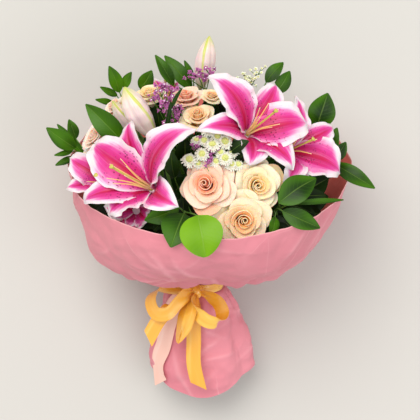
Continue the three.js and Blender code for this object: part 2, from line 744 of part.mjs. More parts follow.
// Gives every stem the slot that best fits the way that it leaves the neck, so that no two stems cross. The
// slots are dealt out in turn, and then any two stems swap slots as long as that brings both nearer to their
// ways.
function dealSlots(ends) {
  const reach = BUNDLE_RADIUS / 160;
  const wanted = Object.entries(ends).map(([name, end]) => {
    const away = at(...end).sub(neck);
    return { name, x: away.dot(neckSide) * reach, y: away.dot(neckFront) * reach };
  });
  const slots = stemSlots();
  const cost = ({ x, y }, [a, b]) => (a - x) ** 2 + (b - y) ** 2;
  for (let swapped = true; swapped; ) {
    swapped = false;
    for (let i = 0; i < wanted.length; i++)
      for (let j = i + 1; j < slots.length; j++) {
        const [one, other] = [wanted[i], wanted[j]];
        const now = cost(one, slots[i]) + (other ? cost(other, slots[j]) : 0);
        const then = cost(one, slots[j]) + (other ? cost(other, slots[i]) : 0);
        if (then > now - 1e-6) continue;
        [slots[i], slots[j]] = [slots[j], slots[i]];
        swapped = true;
      }
  }
  return Object.fromEntries(wanted.map(({ name }, i) => [name, slots[i]]));
}

const slotOf = dealSlots({
  ...Object.fromEntries(Object.entries(LILY_STEMS).map(([name, [first]]) => [`lily_${name}`, first.root])),
  ...Object.fromEntries(Object.entries(ROSES).map(([name, { root }]) => [name, root])),
  ...Object.fromEntries(Object.entries(SPRAYS).map(([name, { hub }]) => [name, hub])),
  ...Object.fromEntries(Object.entries(FOLIAGE).map(([name, { top }]) => [`leaves_${name}`, top])),
});

// A place in the bundle: along the stems from the neck, which is straight, and wider apart by spread
const inBundle = ([x, y], along, spread) =>
  neck
    .clone()
    .addScaledVector(headsWay, Math.max(along, -NECK_STRAIGHT))
    .addScaledVector(feetWay, Math.max(-along - NECK_STRAIGHT, 0))
    .addScaledVector(neckSide, x * spread)
    .addScaledVector(neckFront, y * spread);

// The line of a stem from its cut end, through its slot in the neck, to top, which it reaches along way. Each
// stem is cut at a length of its own.
function stemLine(slot, top, way) {
  const before = top.clone().addScaledVector(way.clone().normalize(), -22);
  const cut = 96 + 3 * ((slot[0] * 1.3 + slot[1] * 2.1 + 90) % 5);
  const spread = inBundle(slot, 58, 2);
  const outward = spread.clone().sub(inBundle(slot, 12, 1)).setLength(spread.distanceTo(before) * 0.45);
  const between = spread.clone().add(outward).lerp(spread.clone().lerp(before, 0.55), 0.6);
  const bound = [inBundle(slot, -NECK_STRAIGHT, 1), inBundle(slot, 12, 1)];
  return [inBundle(slot, -cut, 1.4), ...bound, spread, between, before, top];
}

// A stem is thickest in the neck, and thin at its top
function stemBar(line, thin) {
  const upper = [0.3, 0.65, 1, 1].map((u) => lerp(STEM_RADIUS, thin, u));
  return bar(line, [2.8, STEM_RADIUS, STEM_RADIUS, ...upper], 5);
}

const group = new THREE.Group();

function add(name, solid, [colour, roughness]) {
  const { numProp, vertProperties, triVerts } = solid.getMesh();
  const places = new Float32Array((vertProperties.length / numProp) * 3);
  for (let i = 0; i < places.length / 3; i++)
    places.set(vertProperties.subarray(i * numProp, i * numProp + 3), 3 * i);
  const geometry = new THREE.BufferGeometry();
  geometry.setAttribute("position", new THREE.BufferAttribute(places, 3));
  geometry.setIndex(new THREE.BufferAttribute(triVerts, 1));
  geometry.computeVertexNormals();
  const material = new THREE.MeshStandardMaterial({ color: colour, roughness, metalness: 0 });
  const mesh = new THREE.Mesh(geometry, material);
  mesh.name = name;
  group.add(mesh);
}

// A stem from its cut end to just under a bloom's root
function addStem(name, slotName, root, facing) {
  const way = at(...facing).normalize();
  const end = at(...root).addScaledVector(way, -GAP);
  add(name, stemBar(stemLine(slotOf[slotName], end, way), 2.1), COLOURS.stem);
}

// A stem that parts near its top into stalks, each with a small flower
function addSpray(name, { hub, tips, facing, flower, colour }) {
  const line = stemLine(slotOf[name], at(...hub), at(...hub).sub(neck));
  const made = [stemBar(line, 1.6)];
  tips.forEach((tip, k) => {
    const from = line[6].clone().lerp(line[5], 0.08 + (0.5 * k) / tips.length);
    made.push(starFlower(flower(k), from, tip, facing, 40 * k));
  });
  add(name, joined(made), COLOURS[colour]);
}

// A leafy stalk
function addFoliage(name, top, leaves) {
  const line = stemLine(slotOf[`leaves_${name}`], at(...top), at(...top).sub(neck));
  const made = [stemBar(line, LEAF_STALK_RADIUS)];
  leaves.forEach(([root, tip, wide, facing], k) => {
    made.push(leaf(line[6].clone().lerp(line[5], 0.05 + 0.16 * k), root, tip, wide, facing));
  });
  add(`leaves_${name}`, joined(made), COLOURS.leaf);
}

for (const [name, lily] of Object.entries(LILIES)) {
  const stand = standing(lily.root, lily.facing);
  add(`lily_${name}_petals`, placed(lilyPetals(lily), stand), COLOURS.lily);
  if (lily.filaments) add(`lily_${name}_heart`, placed(lilyHeart(lily), stand), COLOURS.lilyHeart);
}

for (const [name, [first, ...others]] of Object.entries(LILY_STEMS)) {
  const endOf = ({ root, facing }) => at(...root).addScaledVector(at(...facing).normalize(), -GAP);
  const line = stemLine(slotOf[`lily_${name}`], endOf(first), at(...first.facing));
  const made = [stemBar(line, 2.4)];
  for (const other of others) {
    const end = endOf(other);
    const before = end.clone().addScaledVector(at(...other.facing).normalize(), -16);
    made.push(bar([line[4].clone().lerp(line[5], 0.5), before, end], Array(3).fill(BRANCH_RADIUS), 5));
  }
  add(`lily_stem_${name}`, joined(made), COLOURS.stem);
}

for (const [name, { root, facing, length, radius }] of Object.entries(LILY_BUDS))
  add(`lily_bud_${name}`, placed(lilyBud(length, radius), standing(root, facing)), COLOURS.lilyBud);

for (const [name, { root, facing, roll, scale, form, colour }] of Object.entries(ROSES)) {
  add(`rose_${name}`, placed(rose(form), standing(root, facing, roll, scale)), COLOURS[colour]);
  addStem(`rose_stem_${name}`, name, root, facing);
}

for (const [name, spray] of Object.entries(SPRAYS)) addSpray(name, spray);

for (const [name, { top, leaves }] of Object.entries(FOLIAGE)) addFoliage(name, top, leaves);

// The two sheets of paper

// Points round the neck: sideways at turn 0 and towards the viewer at turn 90
const aroundNeck = (turn) =>
  neckSide
    .clone()
    .multiplyScalar(Math.cos(turn * DEGREES))
    .addScaledVector(neckFront, Math.sin(turn * DEGREES));

// How high the middle of the paper lies where its outer face touches the surface
const LOWEST = PAPER_THICK / 2;

function collarPoint(turn, t) {
  const out = aroundNeck(turn);
  const front = Math.sin(turn * DEGREES);
  const towards = Math.max(front, 0) ** 2;
  const away = Math.max(-front, 0) ** 2;
  const rimFront = at(0, -Math.sin(RIM_TILT * DEGREES), Math.cos(RIM_TILT * DEGREES));
  const from = neck.clone().addScaledVector(headsWay, 8).addScaledVector(out, COLLAR_NECK_RADIUS);
  const rim = at(...RIM_CENTRE)
    .addScaledVector(at(1, 0, 0), RIM_RADIUS * Math.cos(turn * DEGREES))
    .addScaledVector(rimFront, RIM_RADIUS * front);
  const sideways = Math.cos(turn * DEGREES);
  const corner = sideways < 0 ? CORNER_LEFT : CORNER_RIGHT;
  const belly = from
    .clone()
    .addScaledVector(out, lerp(corner, 50, towards) - 30 * away)
    .addScaledVector(headsWay, 5);
  const side = rim
    .clone()
    .addScaledVector(headsWay, -lerp(112, 56, towards) - 10 * away)
    .addScaledVector(at(1, 0, 0), -32 * sideways);
  const curve = new THREE.CubicBezierCurve3(from, belly, side, rim);
  const p = curve.getPoint(t);
  const crease = 2.4 * Math.sin(7 * turn * DEGREES + 1) + 1.6 * Math.sin(12 * turn * DEGREES);
  p.addScaledVector(out, crease * Math.sin(Math.PI * t));
  p.z = Math.max(p.z, LOWEST);
  return p;
}

function collar() {
  const turns = Array.from({ length: COLLAR_TURNS }, (_, k) => (360 * (k + 0.5)) / COLLAR_TURNS);
  const neckRing = turns.map((turn) =>
    neck.clone().addScaledVector(headsWay, -8).addScaledVector(aroundNeck(turn), COLLAR_NECK_RADIUS),
  );
  const rings = [0, 0.14, 0.32, 0.52, 0.76, 1].map((t) => turns.map((turn) => collarPoint(turn, t)));
  return sleeve([neckRing, ...rings], PAPER_THICK);
}

add("wrap_collar", collar(), COLOURS.paper);

// How far the skirt's hem hangs below the neck, longest in front
const hemReach = (turn) => 103 + 33 * Math.max(Math.sin((turn - 6) * DEGREES), 0) ** 1.5;

function skirtPoint(turn, t) {
  const out = aroundNeck(turn);
  const reach = hemReach(turn) * t;
  const opened = t ** 0.5;
  const wide = lerp(SKIRT_NECK_RADIUS, SKIRT_HALF_WIDTH, opened);
  const high = lerp(SKIRT_NECK_RADIUS, SKIRT_HALF_HEIGHT, opened);
  const crease = t * (1.8 * Math.sin(5 * turn * DEGREES + 2) + 1.2 * Math.sin(9 * turn * DEGREES));
  const tuck = 1 - 0.12 * smooth(0.8, 1, t) * Math.max(Math.sin(turn * DEGREES), 0);
  const p = neck
    .clone()
    .addScaledVector(headsWay, -9)
    .addScaledVector(feetWay, reach)
    .addScaledVector(neckSide, (wide + crease) * tuck * Math.cos(turn * DEGREES))
    .addScaledVector(neckFront, (high + crease) * tuck * Math.sin(turn * DEGREES));
  p.z = Math.max(p.z, LOWEST);
  return p;
}

function skirt() {
  const turns = Array.from({ length: SKIRT_TURNS }, (_, k) => (360 * k) / SKIRT_TURNS);
  const neckRing = turns.map((turn) =>
    neck.clone().addScaledVector(headsWay, 5).addScaledVector(aroundNeck(turn), SKIRT_NECK_RADIUS),
  );
  const rings = [0, 0.07, 0.3, 0.62, 1].map((t) => turns.map((turn) => skirtPoint(turn, t)));
  return sleeve([neckRing, ...rings].reverse(), PAPER_THICK);
}

add("wrap_skirt", skirt(), COLOURS.paper);

// The tie round the stems, under the paper
function ring(inner, outer, from, to, sides) {
  const profile = [[inner, from], [outer, from], [outer, to], [inner, to], [inner, from]];
  return placed(lathe(profile, sides), standing(NECK, HEADS_WAY));
}

add("twine_tie", ring(TWINE_RADIUS, TWINE_RADIUS + TWINE_THICK, -5, 5, 20), COLOURS.twine);

// The bow: a band round the neck, a knot on its front, loops and tails, each ribbon a list of places and the
// way of its width there
const BOW = {
  left_loop: [
    [KNOT, [0, 0.8, 0.6]], [[-40, -103, 121], [0.1, 0.8, 0.6]], [[-62, -105, 124], [0.3, 0.7, 0.6]],
    [[-75, -113, 131], [0.7, 0.4, 0.6]], [[-64, -127, 140], [0.3, 0.8, 0.4]],
    [[-44, -127, 141], [0, 0.9, 0.4]], [[-28, -115, 134], [-0.4, 0.8, 0.4]], [KNOT, [-0.2, 0.8, 0.6]],
  ],
  right_loop: [
    [KNOT, [0.3, 0.6, 0.7]], [[4, -108, 124], [0.6, 0.5, 0.6]], [[18, -122, 129], [0.9, 0, 0.5]],
    [[14, -137, 136], [0.5, 0.8, 0.4]], [[-5, -138, 141], [0, 1, 0.2]], [[-20, -126, 140], [-0.6, 0.8, 0.2]],
    [KNOT, [-0.4, 0.6, 0.6]],
  ],
  middle_loop: [
    [KNOT, [1, 0, 0.2]], [[-29, -124, 128], [1, 0.2, 0.2]], [[-36, -148, 128], [0.9, 0.1, 0.4]],
    [[-33, -155, 134], [0.9, 0.2, 0.3]], [[-28, -142, 140], [0.8, 0.5, 0.3]], [KNOT, [0.8, 0.5, 0.2]],
  ],
  left_tail: [
    [KNOT, [0.3, 0.9, 0.2]], [[-44, -116, 128], [0.7, 0.7, 0.1]], [[-62, -138, 128], [1, -0.2, 0]],
    [[-76, -162, 124], [0.9, -0.4, 0]],
  ],
  right_tail: [
    [KNOT, [1, 0, 0]], [[-20, -130, 124], [1, 0, 0.1]], [[-20, -160, 116], [1, 0, 0]],
    [[-20, -190, 108], [1, 0, 0.1]], [[-12, -220, 102], [0.8, 0.3, 0.2]],
  ],
};

function bow() {
  const steps = { left_loop: 9, right_loop: 8, middle_loop: 6, left_tail: 3, right_tail: 4 };
  const made = Object.entries(BOW).map(([name, line]) => strip(line, steps[name], BOW_WIDTH, RIBBON_THICK));
  made.push(ring(BAND_RADIUS, BAND_RADIUS + BAND_THICK, -8, 3, 18));
  made.push(solidOf(new THREE.SphereGeometry(8, 7, 4).scale(1.1, 1, 0.8)).translate(...KNOT));
  return joined(made);
}

add("bow", bow(), COLOURS.gold);

// The pink tail lies along the front of the skirt: [turn round the neck, share of the skirt, lift]
const PINK_RIBBON = [
  [118, 0.05, 1.5], [134, 0.16, 1.5], [140, 0.34, 1.6], [141, 0.62, 1.8], [134, 0.8, 2], [137, 1.02, 2],
];
const pinkLine = PINK_RIBBON.map(([turn, t, lift]) => {
  const across = skirtPoint(turn - 6, t).sub(skirtPoint(turn + 6, t));
  const along = skirtPoint(turn, t + 0.03).sub(skirtPoint(turn, t - 0.03));
  const out = along.cross(across).setLength(lift);
  return [skirtPoint(turn, t).add(out).toArray(), across.toArray()];
});
add("pink_ribbon", strip(pinkLine, 8, PINK_WIDTH, RIBBON_THICK), COLOURS.blush);

// The origin moves to the middle of the outline, on the surface
const box = new THREE.Box3().setFromObject(group);
const middle = box.getCenter(at(0, 0, 0));
for (const mesh of group.children) mesh.geometry.translate(-middle.x, -middle.y, -box.min.z);

export default group;
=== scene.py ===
# A hand-tied mixed bouquet in pink wrapping paper, lying on its back. Places are in millimetres from a point
# on the surface under the flowers, as the solids were laid out, and become metres as a piece is made.
import math
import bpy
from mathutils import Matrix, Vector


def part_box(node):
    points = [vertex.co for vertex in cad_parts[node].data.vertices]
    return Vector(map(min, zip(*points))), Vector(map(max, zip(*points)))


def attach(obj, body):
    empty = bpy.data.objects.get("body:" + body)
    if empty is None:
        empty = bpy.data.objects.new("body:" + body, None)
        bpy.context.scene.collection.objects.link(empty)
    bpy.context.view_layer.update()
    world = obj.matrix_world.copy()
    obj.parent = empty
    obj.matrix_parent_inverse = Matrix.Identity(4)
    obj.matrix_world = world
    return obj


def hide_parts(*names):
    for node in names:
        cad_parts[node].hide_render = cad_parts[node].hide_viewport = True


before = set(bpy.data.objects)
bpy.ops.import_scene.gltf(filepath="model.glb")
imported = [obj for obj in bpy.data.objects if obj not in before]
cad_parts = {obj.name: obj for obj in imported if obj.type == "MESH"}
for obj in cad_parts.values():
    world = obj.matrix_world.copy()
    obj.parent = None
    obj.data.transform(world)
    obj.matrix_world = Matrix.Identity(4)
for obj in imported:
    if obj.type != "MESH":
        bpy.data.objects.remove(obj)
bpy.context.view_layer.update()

import zlib

import bpy
import numpy as np
from numpy import array, clip, cos, exp, linspace, maximum, pi, radians, sin, stack, vstack
from numpy.linalg import norm


def unit(v):
    v = np.asarray(v, float)
    return v / norm(v, axis=-1, keepdims=True)


# The neck, where the ribbon binds the stems, and the ways from it
NECK = array([-12, -85, 85])
HEADS = unit([.079, .93, .36])
FEET = unit([.02, -.93, -.36])
ASIDE = -unit(np.cross([0, 0, 1], HEADS))
FORWARD = unit(np.cross(ASIDE, HEADS))
STEM_PITCH = 6.4
STEM_RADIUS = 3.05
BUNDLE_RADIUS = 18.6
NECK_STRAIGHT = 16

# The two sheets of wrapping paper
PAPER_THICK = .5
LOWEST = .65
COLLAR_NECK_RADIUS = 24.4
RIM_CENTRE = array([0, 57, 140])
RIM_RADIUS = 172
RIM_TILT = radians(31.5)
CORNER_LEFT = 114
CORNER_RIGHT = 84
SKIRT_NECK_RADIUS = 26.3
SKIRT_HALF_WIDTH = 66
SKIRT_HALF_HEIGHT = 48
WAVES = 5
FOLD_WIDTH = 4.5
FOLD_HEIGHT = 2.2
UNDER_RIBBON = radians(134)

# The ribbons
KNOT = array([-17, -100, 116])
KNOT_RADIUS = 8.4
BOW_WIDTH = 18
PINK_WIDTH = 25
RIBBON_THICK = .35
BAND_RADIUS = 28.2

# The flowers and leaves
GAP = .3
CORE_TOP = 10
CORE_LIFT = 4
TEPAL_ROOT = 3.5
TEPAL_START = 20
PETAL_THICK = .7
LEAF_THICK = .6
ROSE_FACE = 36.5
WIDEST_RING = 27
HEART_LEAN = 5
GOLDEN_TURN = 137.5
BEADS = 40

# The leaves low on each stalk
LOWER_LEAVES = 46
LOWER_FOOT = .44
LOWER_TOP = 226
WIDEST_LOWER_LEAF = 32
NECK_CLEAR = 36
SHEET_CLEAR = 9

# The camera, over the flowers
CAMERA_HEIGHT = 2680
FOCUS_DISTANCE = 2500
MM_PER_PIXEL = 1.2
FRAME_PIXELS = 420
SENSOR = 36

# Where the lights point, in metres, how far the surface reaches, and how far it stays below the bouquet
LIT = array([0, 0, .12])
FLOOR_REACH = 6
FLOOR_GAP = .0003

low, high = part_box("twine_tie")
SHIFT = (array(low) + array(high)) * 500 - NECK


def to_row(points):
    return (np.asarray(points, float) + SHIFT) / 1000


def seeded(name):
    return np.random.default_rng(zlib.crc32(name.encode()))


def smooth(start, end, x):
    t = clip((np.asarray(x, float) - start) / (end - start), 0, 1)
    return t * t * (3 - 2 * t)


def lerp(a, b, t):
    return a + (b - a) * t


def weave(rows, columns):
    """The shares along, 0 to 1, down the rows of a grid, and across, -1 to 1, over its columns"""
    return linspace(0, 1, rows)[:, None], linspace(-1, 1, columns)[None, :]


def turns(count):
    return linspace(0, 2 * pi, count, endpoint=False)[None, :]


def together(*parts):
    """Arrays and numbers over one grid, side by side: the places or the marks of its corners"""
    return stack(np.broadcast_arrays(*parts), -1).astype(float)


def polar(r, angle, z):
    return together(r * cos(angle), r * sin(angle), z)


def moved(points, matrix):
    return np.asarray(points) @ matrix[:3, :3].T + matrix[:3, 3]


def standing(base, facing, roll=0, scale=1):
    """The matrix that stands a bloom's own frame at base, with its +Z along facing"""
    z = unit(facing)
    x = unit(np.cross([0, 1, 0], z))
    y = np.cross(z, x)
    c, s = cos(radians(roll)), sin(radians(roll))
    matrix = np.eye(4)
    matrix[:3, :3] = stack([c * x + s * y, c * y - s * x, z], 1) * scale
    matrix[:3, 3] = base
    return matrix


def given(thing, **values):
    for key, value in values.items():
        setattr(thing, key, value)
    return thing


# Meshes

def placed(name, data):
    made = bpy.data.objects.new(name, data)
    bpy.context.scene.collection.objects.link(made)
    return made


class Piece:
    """Gathers the corners and faces of one piece. Each corner has a mark, four numbers for its material:
    place across, place along, side or kind or fullness, and a random number or the strength of a fold."""

    def __init__(self):
        self.points = []
        self.marks = []
        self.faces = []
        self.materials = []
        self.count = 0

    def add(self, points, faces, marks, material=0):
        points = np.asarray(points, float).reshape(-1, 3)
        self.points.append(points)
        self.marks.append(np.asarray(marks, float).reshape(-1, 4))
        for group in faces:
            self.faces += (np.asarray(group) + self.count).tolist()
            self.materials += [material] * len(group)
        self.count += len(points)

    def make(self, name, slot, looks=None, node=None, sharp=48):
        """The finished piece, in place of a node, by its own name if no other is given"""
        mesh = bpy.data.meshes.new(name)
        mesh.from_pydata(to_row(vstack(self.points)).tolist(), [], self.faces)
        marks = mesh.attributes.new("mark", "FLOAT_COLOR", "POINT")
        marks.data.foreach_set("color", vstack(self.marks).astype(np.float32).ravel())
        for look in looks or [slot]:
            mesh.materials.append(MATERIALS[look])
        mesh.polygons.foreach_set("material_index", self.materials)
        mesh.shade_smooth()
        mesh.set_sharp_from_angle(angle=math.radians(sharp))
        made = placed(name, mesh)
        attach(made, "root")
        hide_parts(node or name)
        return made


def quads(rows, columns, closed=False, turned=False):
    """The faces of a grid of corners, rows by columns; closed joins the last column to the first"""
    i, j = np.meshgrid(np.arange(rows - 1), np.arange(columns if closed else columns - 1), indexing="ij")
    a, b = i * columns + j, i * columns + (j + 1) % columns
    faces = stack([a, b, b + columns, a + columns], -1).reshape(-1, 4)
    return faces[:, ::-1] if turned else faces


def capped(rows, sides):
    """The faces of rows of sides that close on themselves, with one more corner at each end"""
    k = np.arange(sides)
    after, last, end = (k + 1) % sides, (rows - 1) * sides, np.full(sides, rows * sides)
    foot, tip = stack([after, k, end], -1), stack([k + last, after + last, end + 1], -1)
    return [quads(rows, sides, True), foot, tip]


def ring_marks(mark, shares, sides):
    """One mark for rings of sides, apart from each ring's share along"""
    marks = np.tile(np.asarray(mark, float), (len(shares) * sides, 1))
    marks[:, 1] = np.repeat(shares, sides)
    return marks


def normals(grid, closed=False):
    across = np.roll(grid, -1, 1) - np.roll(grid, 1, 1) if closed else np.gradient(grid, axis=1)
    return unit(np.cross(across, np.gradient(grid, axis=0)) + 1e-12)


def pressed(grid, lowest):
    grid[..., 2] = maximum(grid[..., 2], lowest)
    return grid


def two_faced(piece, front, back, faces, marks, material=0):
    """Adds two like grids of corners, the second one marked as the other side"""
    piece.add(stack([front, back]), faces, stack([marks, marks + [0, 0, 1, 0]]), material)


def blade(piece, grid, thick, marks, material=0):
    """A petal, leaf or ribbon: two faces thick apart over a grid of places, joined round the rim"""
    rows, columns = grid.shape[:2]
    count = rows * columns
    out = normals(grid) * thick / 2
    corner = np.arange(count).reshape(rows, columns)
    rim = np.concatenate([corner[0], corner[1:, -1], corner[-1, -2::-1], corner[-2:0:-1, 0]])
    after = np.roll(rim, -1)
    edge = stack([rim, rim + count, after + count, after], -1)
    faces = [quads(rows, columns), quads(rows, columns, turned=True) + count, edge]
    two_faced(piece, grid + out, grid - out, faces, marks, material)


def sleeve(piece, grid, thick, marks):
    """A sheet that closes on itself, its inner face first; it is pressed flat on the surface"""
    rows, columns = grid.shape[:2]
    count = rows * columns
    out = normals(grid, True) * thick / 2
    k = np.arange(columns)
    after = (k + 1) % columns
    foot = stack([after, k, k + count, after + count], -1)
    top = stack([k, after, after + count, k + count], -1) + count - columns
    faces = [quads(rows, columns, True), quads(rows, columns, True, True) + count, foot, top]
    two_faced(piece, pressed(grid + out, thick), pressed(grid - out, 0), faces, marks)


def smooth_line(points, count):
    """A smooth line through points, as count places"""
    p = array(points, float)
    t = np.concatenate([[0], np.cumsum(norm(np.diff(p, axis=0), axis=1) ** .5 + 1e-6)])
    way = np.gradient(p, t, axis=0)
    s = linspace(0, t[-1], count)
    i = clip(np.searchsorted(t, s) - 1, 0, len(t) - 2)
    step = (t[i + 1] - t[i])[:, None]
    x = (s - t[i])[:, None] / step
    start = (2 * x**3 - 3 * x**2 + 1) * p[i] + (x**3 - 2 * x**2 + x) * step * way[i]
    return start + (3 * x**2 - 2 * x**3) * p[i + 1] + (x**3 - x**2) * step * way[i + 1]


def tube(piece, line, radii, sides, mark=(0, 0, 0, 0), material=0, ridges=0):
    """A round bar along a line with a radius at each place, with domed ends and, if asked, ridges along it"""
    line = np.asarray(line, float)
    count = len(line)
    radii = np.broadcast_to(radii, count).astype(float)
    ways = unit(np.gradient(line, axis=0))
    side = array([0, 0, 1]) if abs(ways[0][2]) < .9 else array([1, 0, 0])
    turn = turns(sides)[0]
    swell = 1 + .12 * cos(ridges * turn) if ridges else 1
    points = []
    for place, way, radius in zip(line, ways, radii):
        side = unit(side - way * side.dot(way))
        ring = np.outer(cos(turn) * swell, side) + np.outer(sin(turn) * swell, np.cross(way, side))
        points.append(place + radius * ring)
    points += [line[0] - ways[0] * radii[0] * .3, line[-1] + ways[-1] * radii[-1] * .4]
    marks = vstack([ring_marks(mark, linspace(0, 1, count), sides), mark, mark])
    marks[-1, 1] = 1
    piece.add(vstack(points), capped(count, sides), marks, material)


def lathe(piece, profile, sides, matrix, mark=(0, 0, 0, 0), material=0):
    """A turned form along +Z of its own frame, from a profile of radius and height"""
    profile = array(profile, float)
    grid = polar(maximum(profile[:, :1], .01), turns(sides), profile[:, 1:])
    marks = ring_marks(mark, linspace(0, 1, len(profile)), sides)
    piece.add(moved(grid, matrix), [quads(len(profile), sides, True)], marks, material)


# Materials

MATERIALS = {}


def rgb(code):
    """A colour as linear numbers, from its six hexadecimal digits"""
    parts = [int(code[i:i + 2], 16) / 255 for i in (0, 2, 4)]
    return tuple(c / 12.92 if c <= .04045 else ((c + .055) / 1.055) ** 2.4 for c in parts) + (1,)


class Value:
    """What a node gives out, to reckon with further"""

    def __init__(self, shader, socket):
        self.shader = shader
        self.socket = socket

    def math(self, operation, other=None):
        return self.shader.node("Math", {0: self, 1: other}, operation=operation)

    def __add__(self, other):
        return self.math("ADD", other)

    def __sub__(self, other):
        return self.math("SUBTRACT", other)

    def __mul__(self, other):
        return self.math("MULTIPLY", other)

    def __abs__(self):
        return self.math("ABSOLUTE")

    def step(self, start, end, low=0, high=1):
        inputs = {"Value": self, "From Min": start, "From Max": end, "To Min": low, "To Max": high}
        return self.shader.node("MapRange", inputs, interpolation_type="SMOOTHSTEP")

    def ramp(self, *stops):
        """A colour or a grey by this value, from stops of a place and a colour or grey"""
        made = self.shader.node("ValToRGB", {0: self})
        ramp = made.socket.node.color_ramp
        while len(ramp.elements) < len(stops):
            ramp.elements.new(.5)
        for element, (place, colour) in zip(ramp.elements, stops):
            element.position = place
            element.color = rgb(colour) if isinstance(colour, str) else (colour, colour, colour, 1)
        return made


class Shader:
    """One material, and short ways to add nodes to it, from numbers, values and colours"""

    def __init__(self, name, roughness, **levels):
        self.name = name
        self.material = bpy.data.materials.new(name)
        self.material.use_nodes = True
        self.nodes = self.material.node_tree.nodes
        self.main = self.nodes["Principled BSDF"].inputs
        self.main["Roughness"].default_value = roughness
        for level, value in levels.items():
            self.main[level.replace("_", " ").title().replace("Ior", "IOR")].default_value = value

    def put(self, socket, value):
        if isinstance(value, Value):
            self.material.node_tree.links.new(value.socket, socket)
        elif value is not None:
            socket.default_value = rgb(value) if isinstance(value, str) else value

    def node(self, kind, inputs, output=0, **settings):
        node = given(self.nodes.new("ShaderNode" + kind), **settings)
        for key, value in inputs.items():
            self.put(node.inputs[key], value)
        return Value(self, node.outputs[output])

    def mix(self, factor, a, b):
        return self.node("Mix", {0: factor, 6: a, 7: b}, 2, data_type="RGBA")

    def parts(self, colour):
        return [Value(self, part) for part in self.node("SeparateColor", {0: colour}).socket.node.outputs]

    def mark(self):
        """The four numbers of the mark"""
        colour = self.node("Attribute", {}, "Color", attribute_name="mark")
        return [*self.parts(colour), Value(self, colour.socket.node.outputs["Alpha"])]

    def place(self):
        return self.node("TexCoord", {}, "Object")

    def at(self, place):
        """A place as one value, from itself or from its three numbers"""
        return place if isinstance(place, Value) else self.node("CombineXYZ", dict(enumerate(place)))

    def noise(self, place, scale, detail=2, roughness=.5):
        inputs = {"Vector": self.at(place), "Scale": scale, "Detail": detail, "Roughness": roughness}
        return self.node("TexNoise", inputs)

    def cells(self, place, scale, feature="F1", output="Distance"):
        return self.node("TexVoronoi", {"Vector": self.at(place), "Scale": scale}, output, feature=feature)

    def finish(self, colour, height=None, distance=.0003):
        self.put(self.main["Base Color"], colour)
        if height is not None:
            bump = self.node("Bump", {"Height": height, "Distance": distance, "Strength": .7})
            self.put(self.main["Normal"], bump)
        MATERIALS[self.name] = self.material


def lily_petal_look():
    s = Shader("lily_petal", .42, subsurface_weight=.12, subsurface_scale=.0006, specular_ior_level=.35)
    across, along, side, seed = s.mark()
    off = abs(across)
    feather = s.noise((across * 7 + seed * 37, along * 1.6, seed), 1, 3, .6)
    drift = s.noise((across * 1.3, along * 4, seed * 9), 1)
    reach = along.ramp((0, .99), (.2, .97), (.5, .92), (.68, .8), (.8, .56), (.9, .24), (1, 0))
    depth = reach - off + (feather - .5) * .6 + (drift - .5) * .4 + (seed - .5) * .12
    front = ((depth + .08) * 1.05).ramp((0, "e2d9dc"), (.14, "e8c6d8"), (.28, "e282b5"), (.46, "d23c92"),
                                         (.72, "c91e76"), (1, "b50c50"))
    veins = s.noise((across * 16, along * .8, seed), 1, 2)
    front = s.mix(veins.step(.5, .75) * .22, front, "f4a4cb")
    rib = off.step(.16, 0) * along.ramp((0, .5), (.16, 1), (.6, .9), (.84, 0))
    front = s.mix(rib * .75, front, "be0a44")
    spotted = s.at((across * 9 + seed * 51, along * 28, seed))
    kept = s.parts(s.cells(spotted, 1, "F1", "Color"))[0].step(.2, .25)
    where = along.ramp((.06, 0), (.14, 1), (.46, 1), (.64, 0)) * off.step(.9, .72) * off.step(.1, .2)
    dots = s.cells(spotted, 1).step(.32, .2) * kept * where
    front = s.mix(dots * .85, front, "5e0632")
    front = s.mix(along.step(.1, .02), front, "e6e0bc")
    back = depth.step(0, .8).ramp((0, "f5ebee"), (.5, "efc0d6"), (1, "d987b4"))
    back = s.mix(off.step(.1, .02) * .6, back, "c9b08c")
    height = veins * .6 + dots * 1.2 - off.step(.12, 0) * .6
    s.finish(s.mix(side, front, back), height, .0006)


def lily_heart_look():
    s = Shader("lily_heart", .38, subsurface_weight=.1, subsurface_scale=.0006)
    _, along, kind, _ = s.mark()
    filament = along.ramp((0, "e6e4a8"), (.35, "f5d488"), (.8, "f6bf70"), (1, "f9e0b4"))
    pistil = along.ramp((0, "b9c45a"), (.7, "c9c04c"), (.9, "a9ad3a"), (1, "b8b346"))
    grain = s.noise(s.place(), 900)
    s.finish(s.mix(grain * .25, s.mix(kind, filament, pistil), "f3e3a0"), grain, .0002)


def lily_bud_look():
    s = Shader("lily_bud", .4, subsurface_weight=.15, subsurface_scale=.001)
    across, along, ridge, seed = s.mark()
    streak = s.noise((across * 9, along * 1.5, seed), 2, 3)
    body = along.ramp((0, "c9d08a"), (.16, "ecdccb"), (.5, "f1dad9"), (.8, "f3e2d4"), (1, "c4d060"))
    colour = s.mix(streak.step(.4, .75) * .45, body, "e6a9bb")
    shown = (ridge + along.step(.55, 1) * .5).step(.6, 1)
    s.finish(s.mix(shown * .85, colour, "c6d04e"), streak * .5 + ridge.step(.6, 1), .0006)


def rose_look(name, edge, body, heart):
    s = Shader(name, .5, subsurface_weight=.4, subsurface_scale=.0014)
    across, along, fullness, seed = s.mark()
    opened = (fullness * .999).math("FRACT")
    front = opened.ramp((0, edge), (.1, body), (.3, heart), (.9, body))
    front = s.mix(along.step(.8, .35) * .55, front, heart)
    front = s.mix(along.step(.6, .95) * opened.step(.15, .8), front, edge)
    back = s.mix(opened.step(.1, .6), body, edge)
    colour = s.mix(fullness.step(.99, 1), front, back)
    veins = s.noise((across * 11, along * 1.1, seed * 5), 1.5, 3)
    blush = s.noise((across, along, seed * 11), 2.2)
    colour = s.mix(blush.step(.45, .8) * .25, colour, heart)
    s.finish(s.mix(along.step(.12, 0) * .4, colour, "dfe0a8"), veins * .5, .0005)


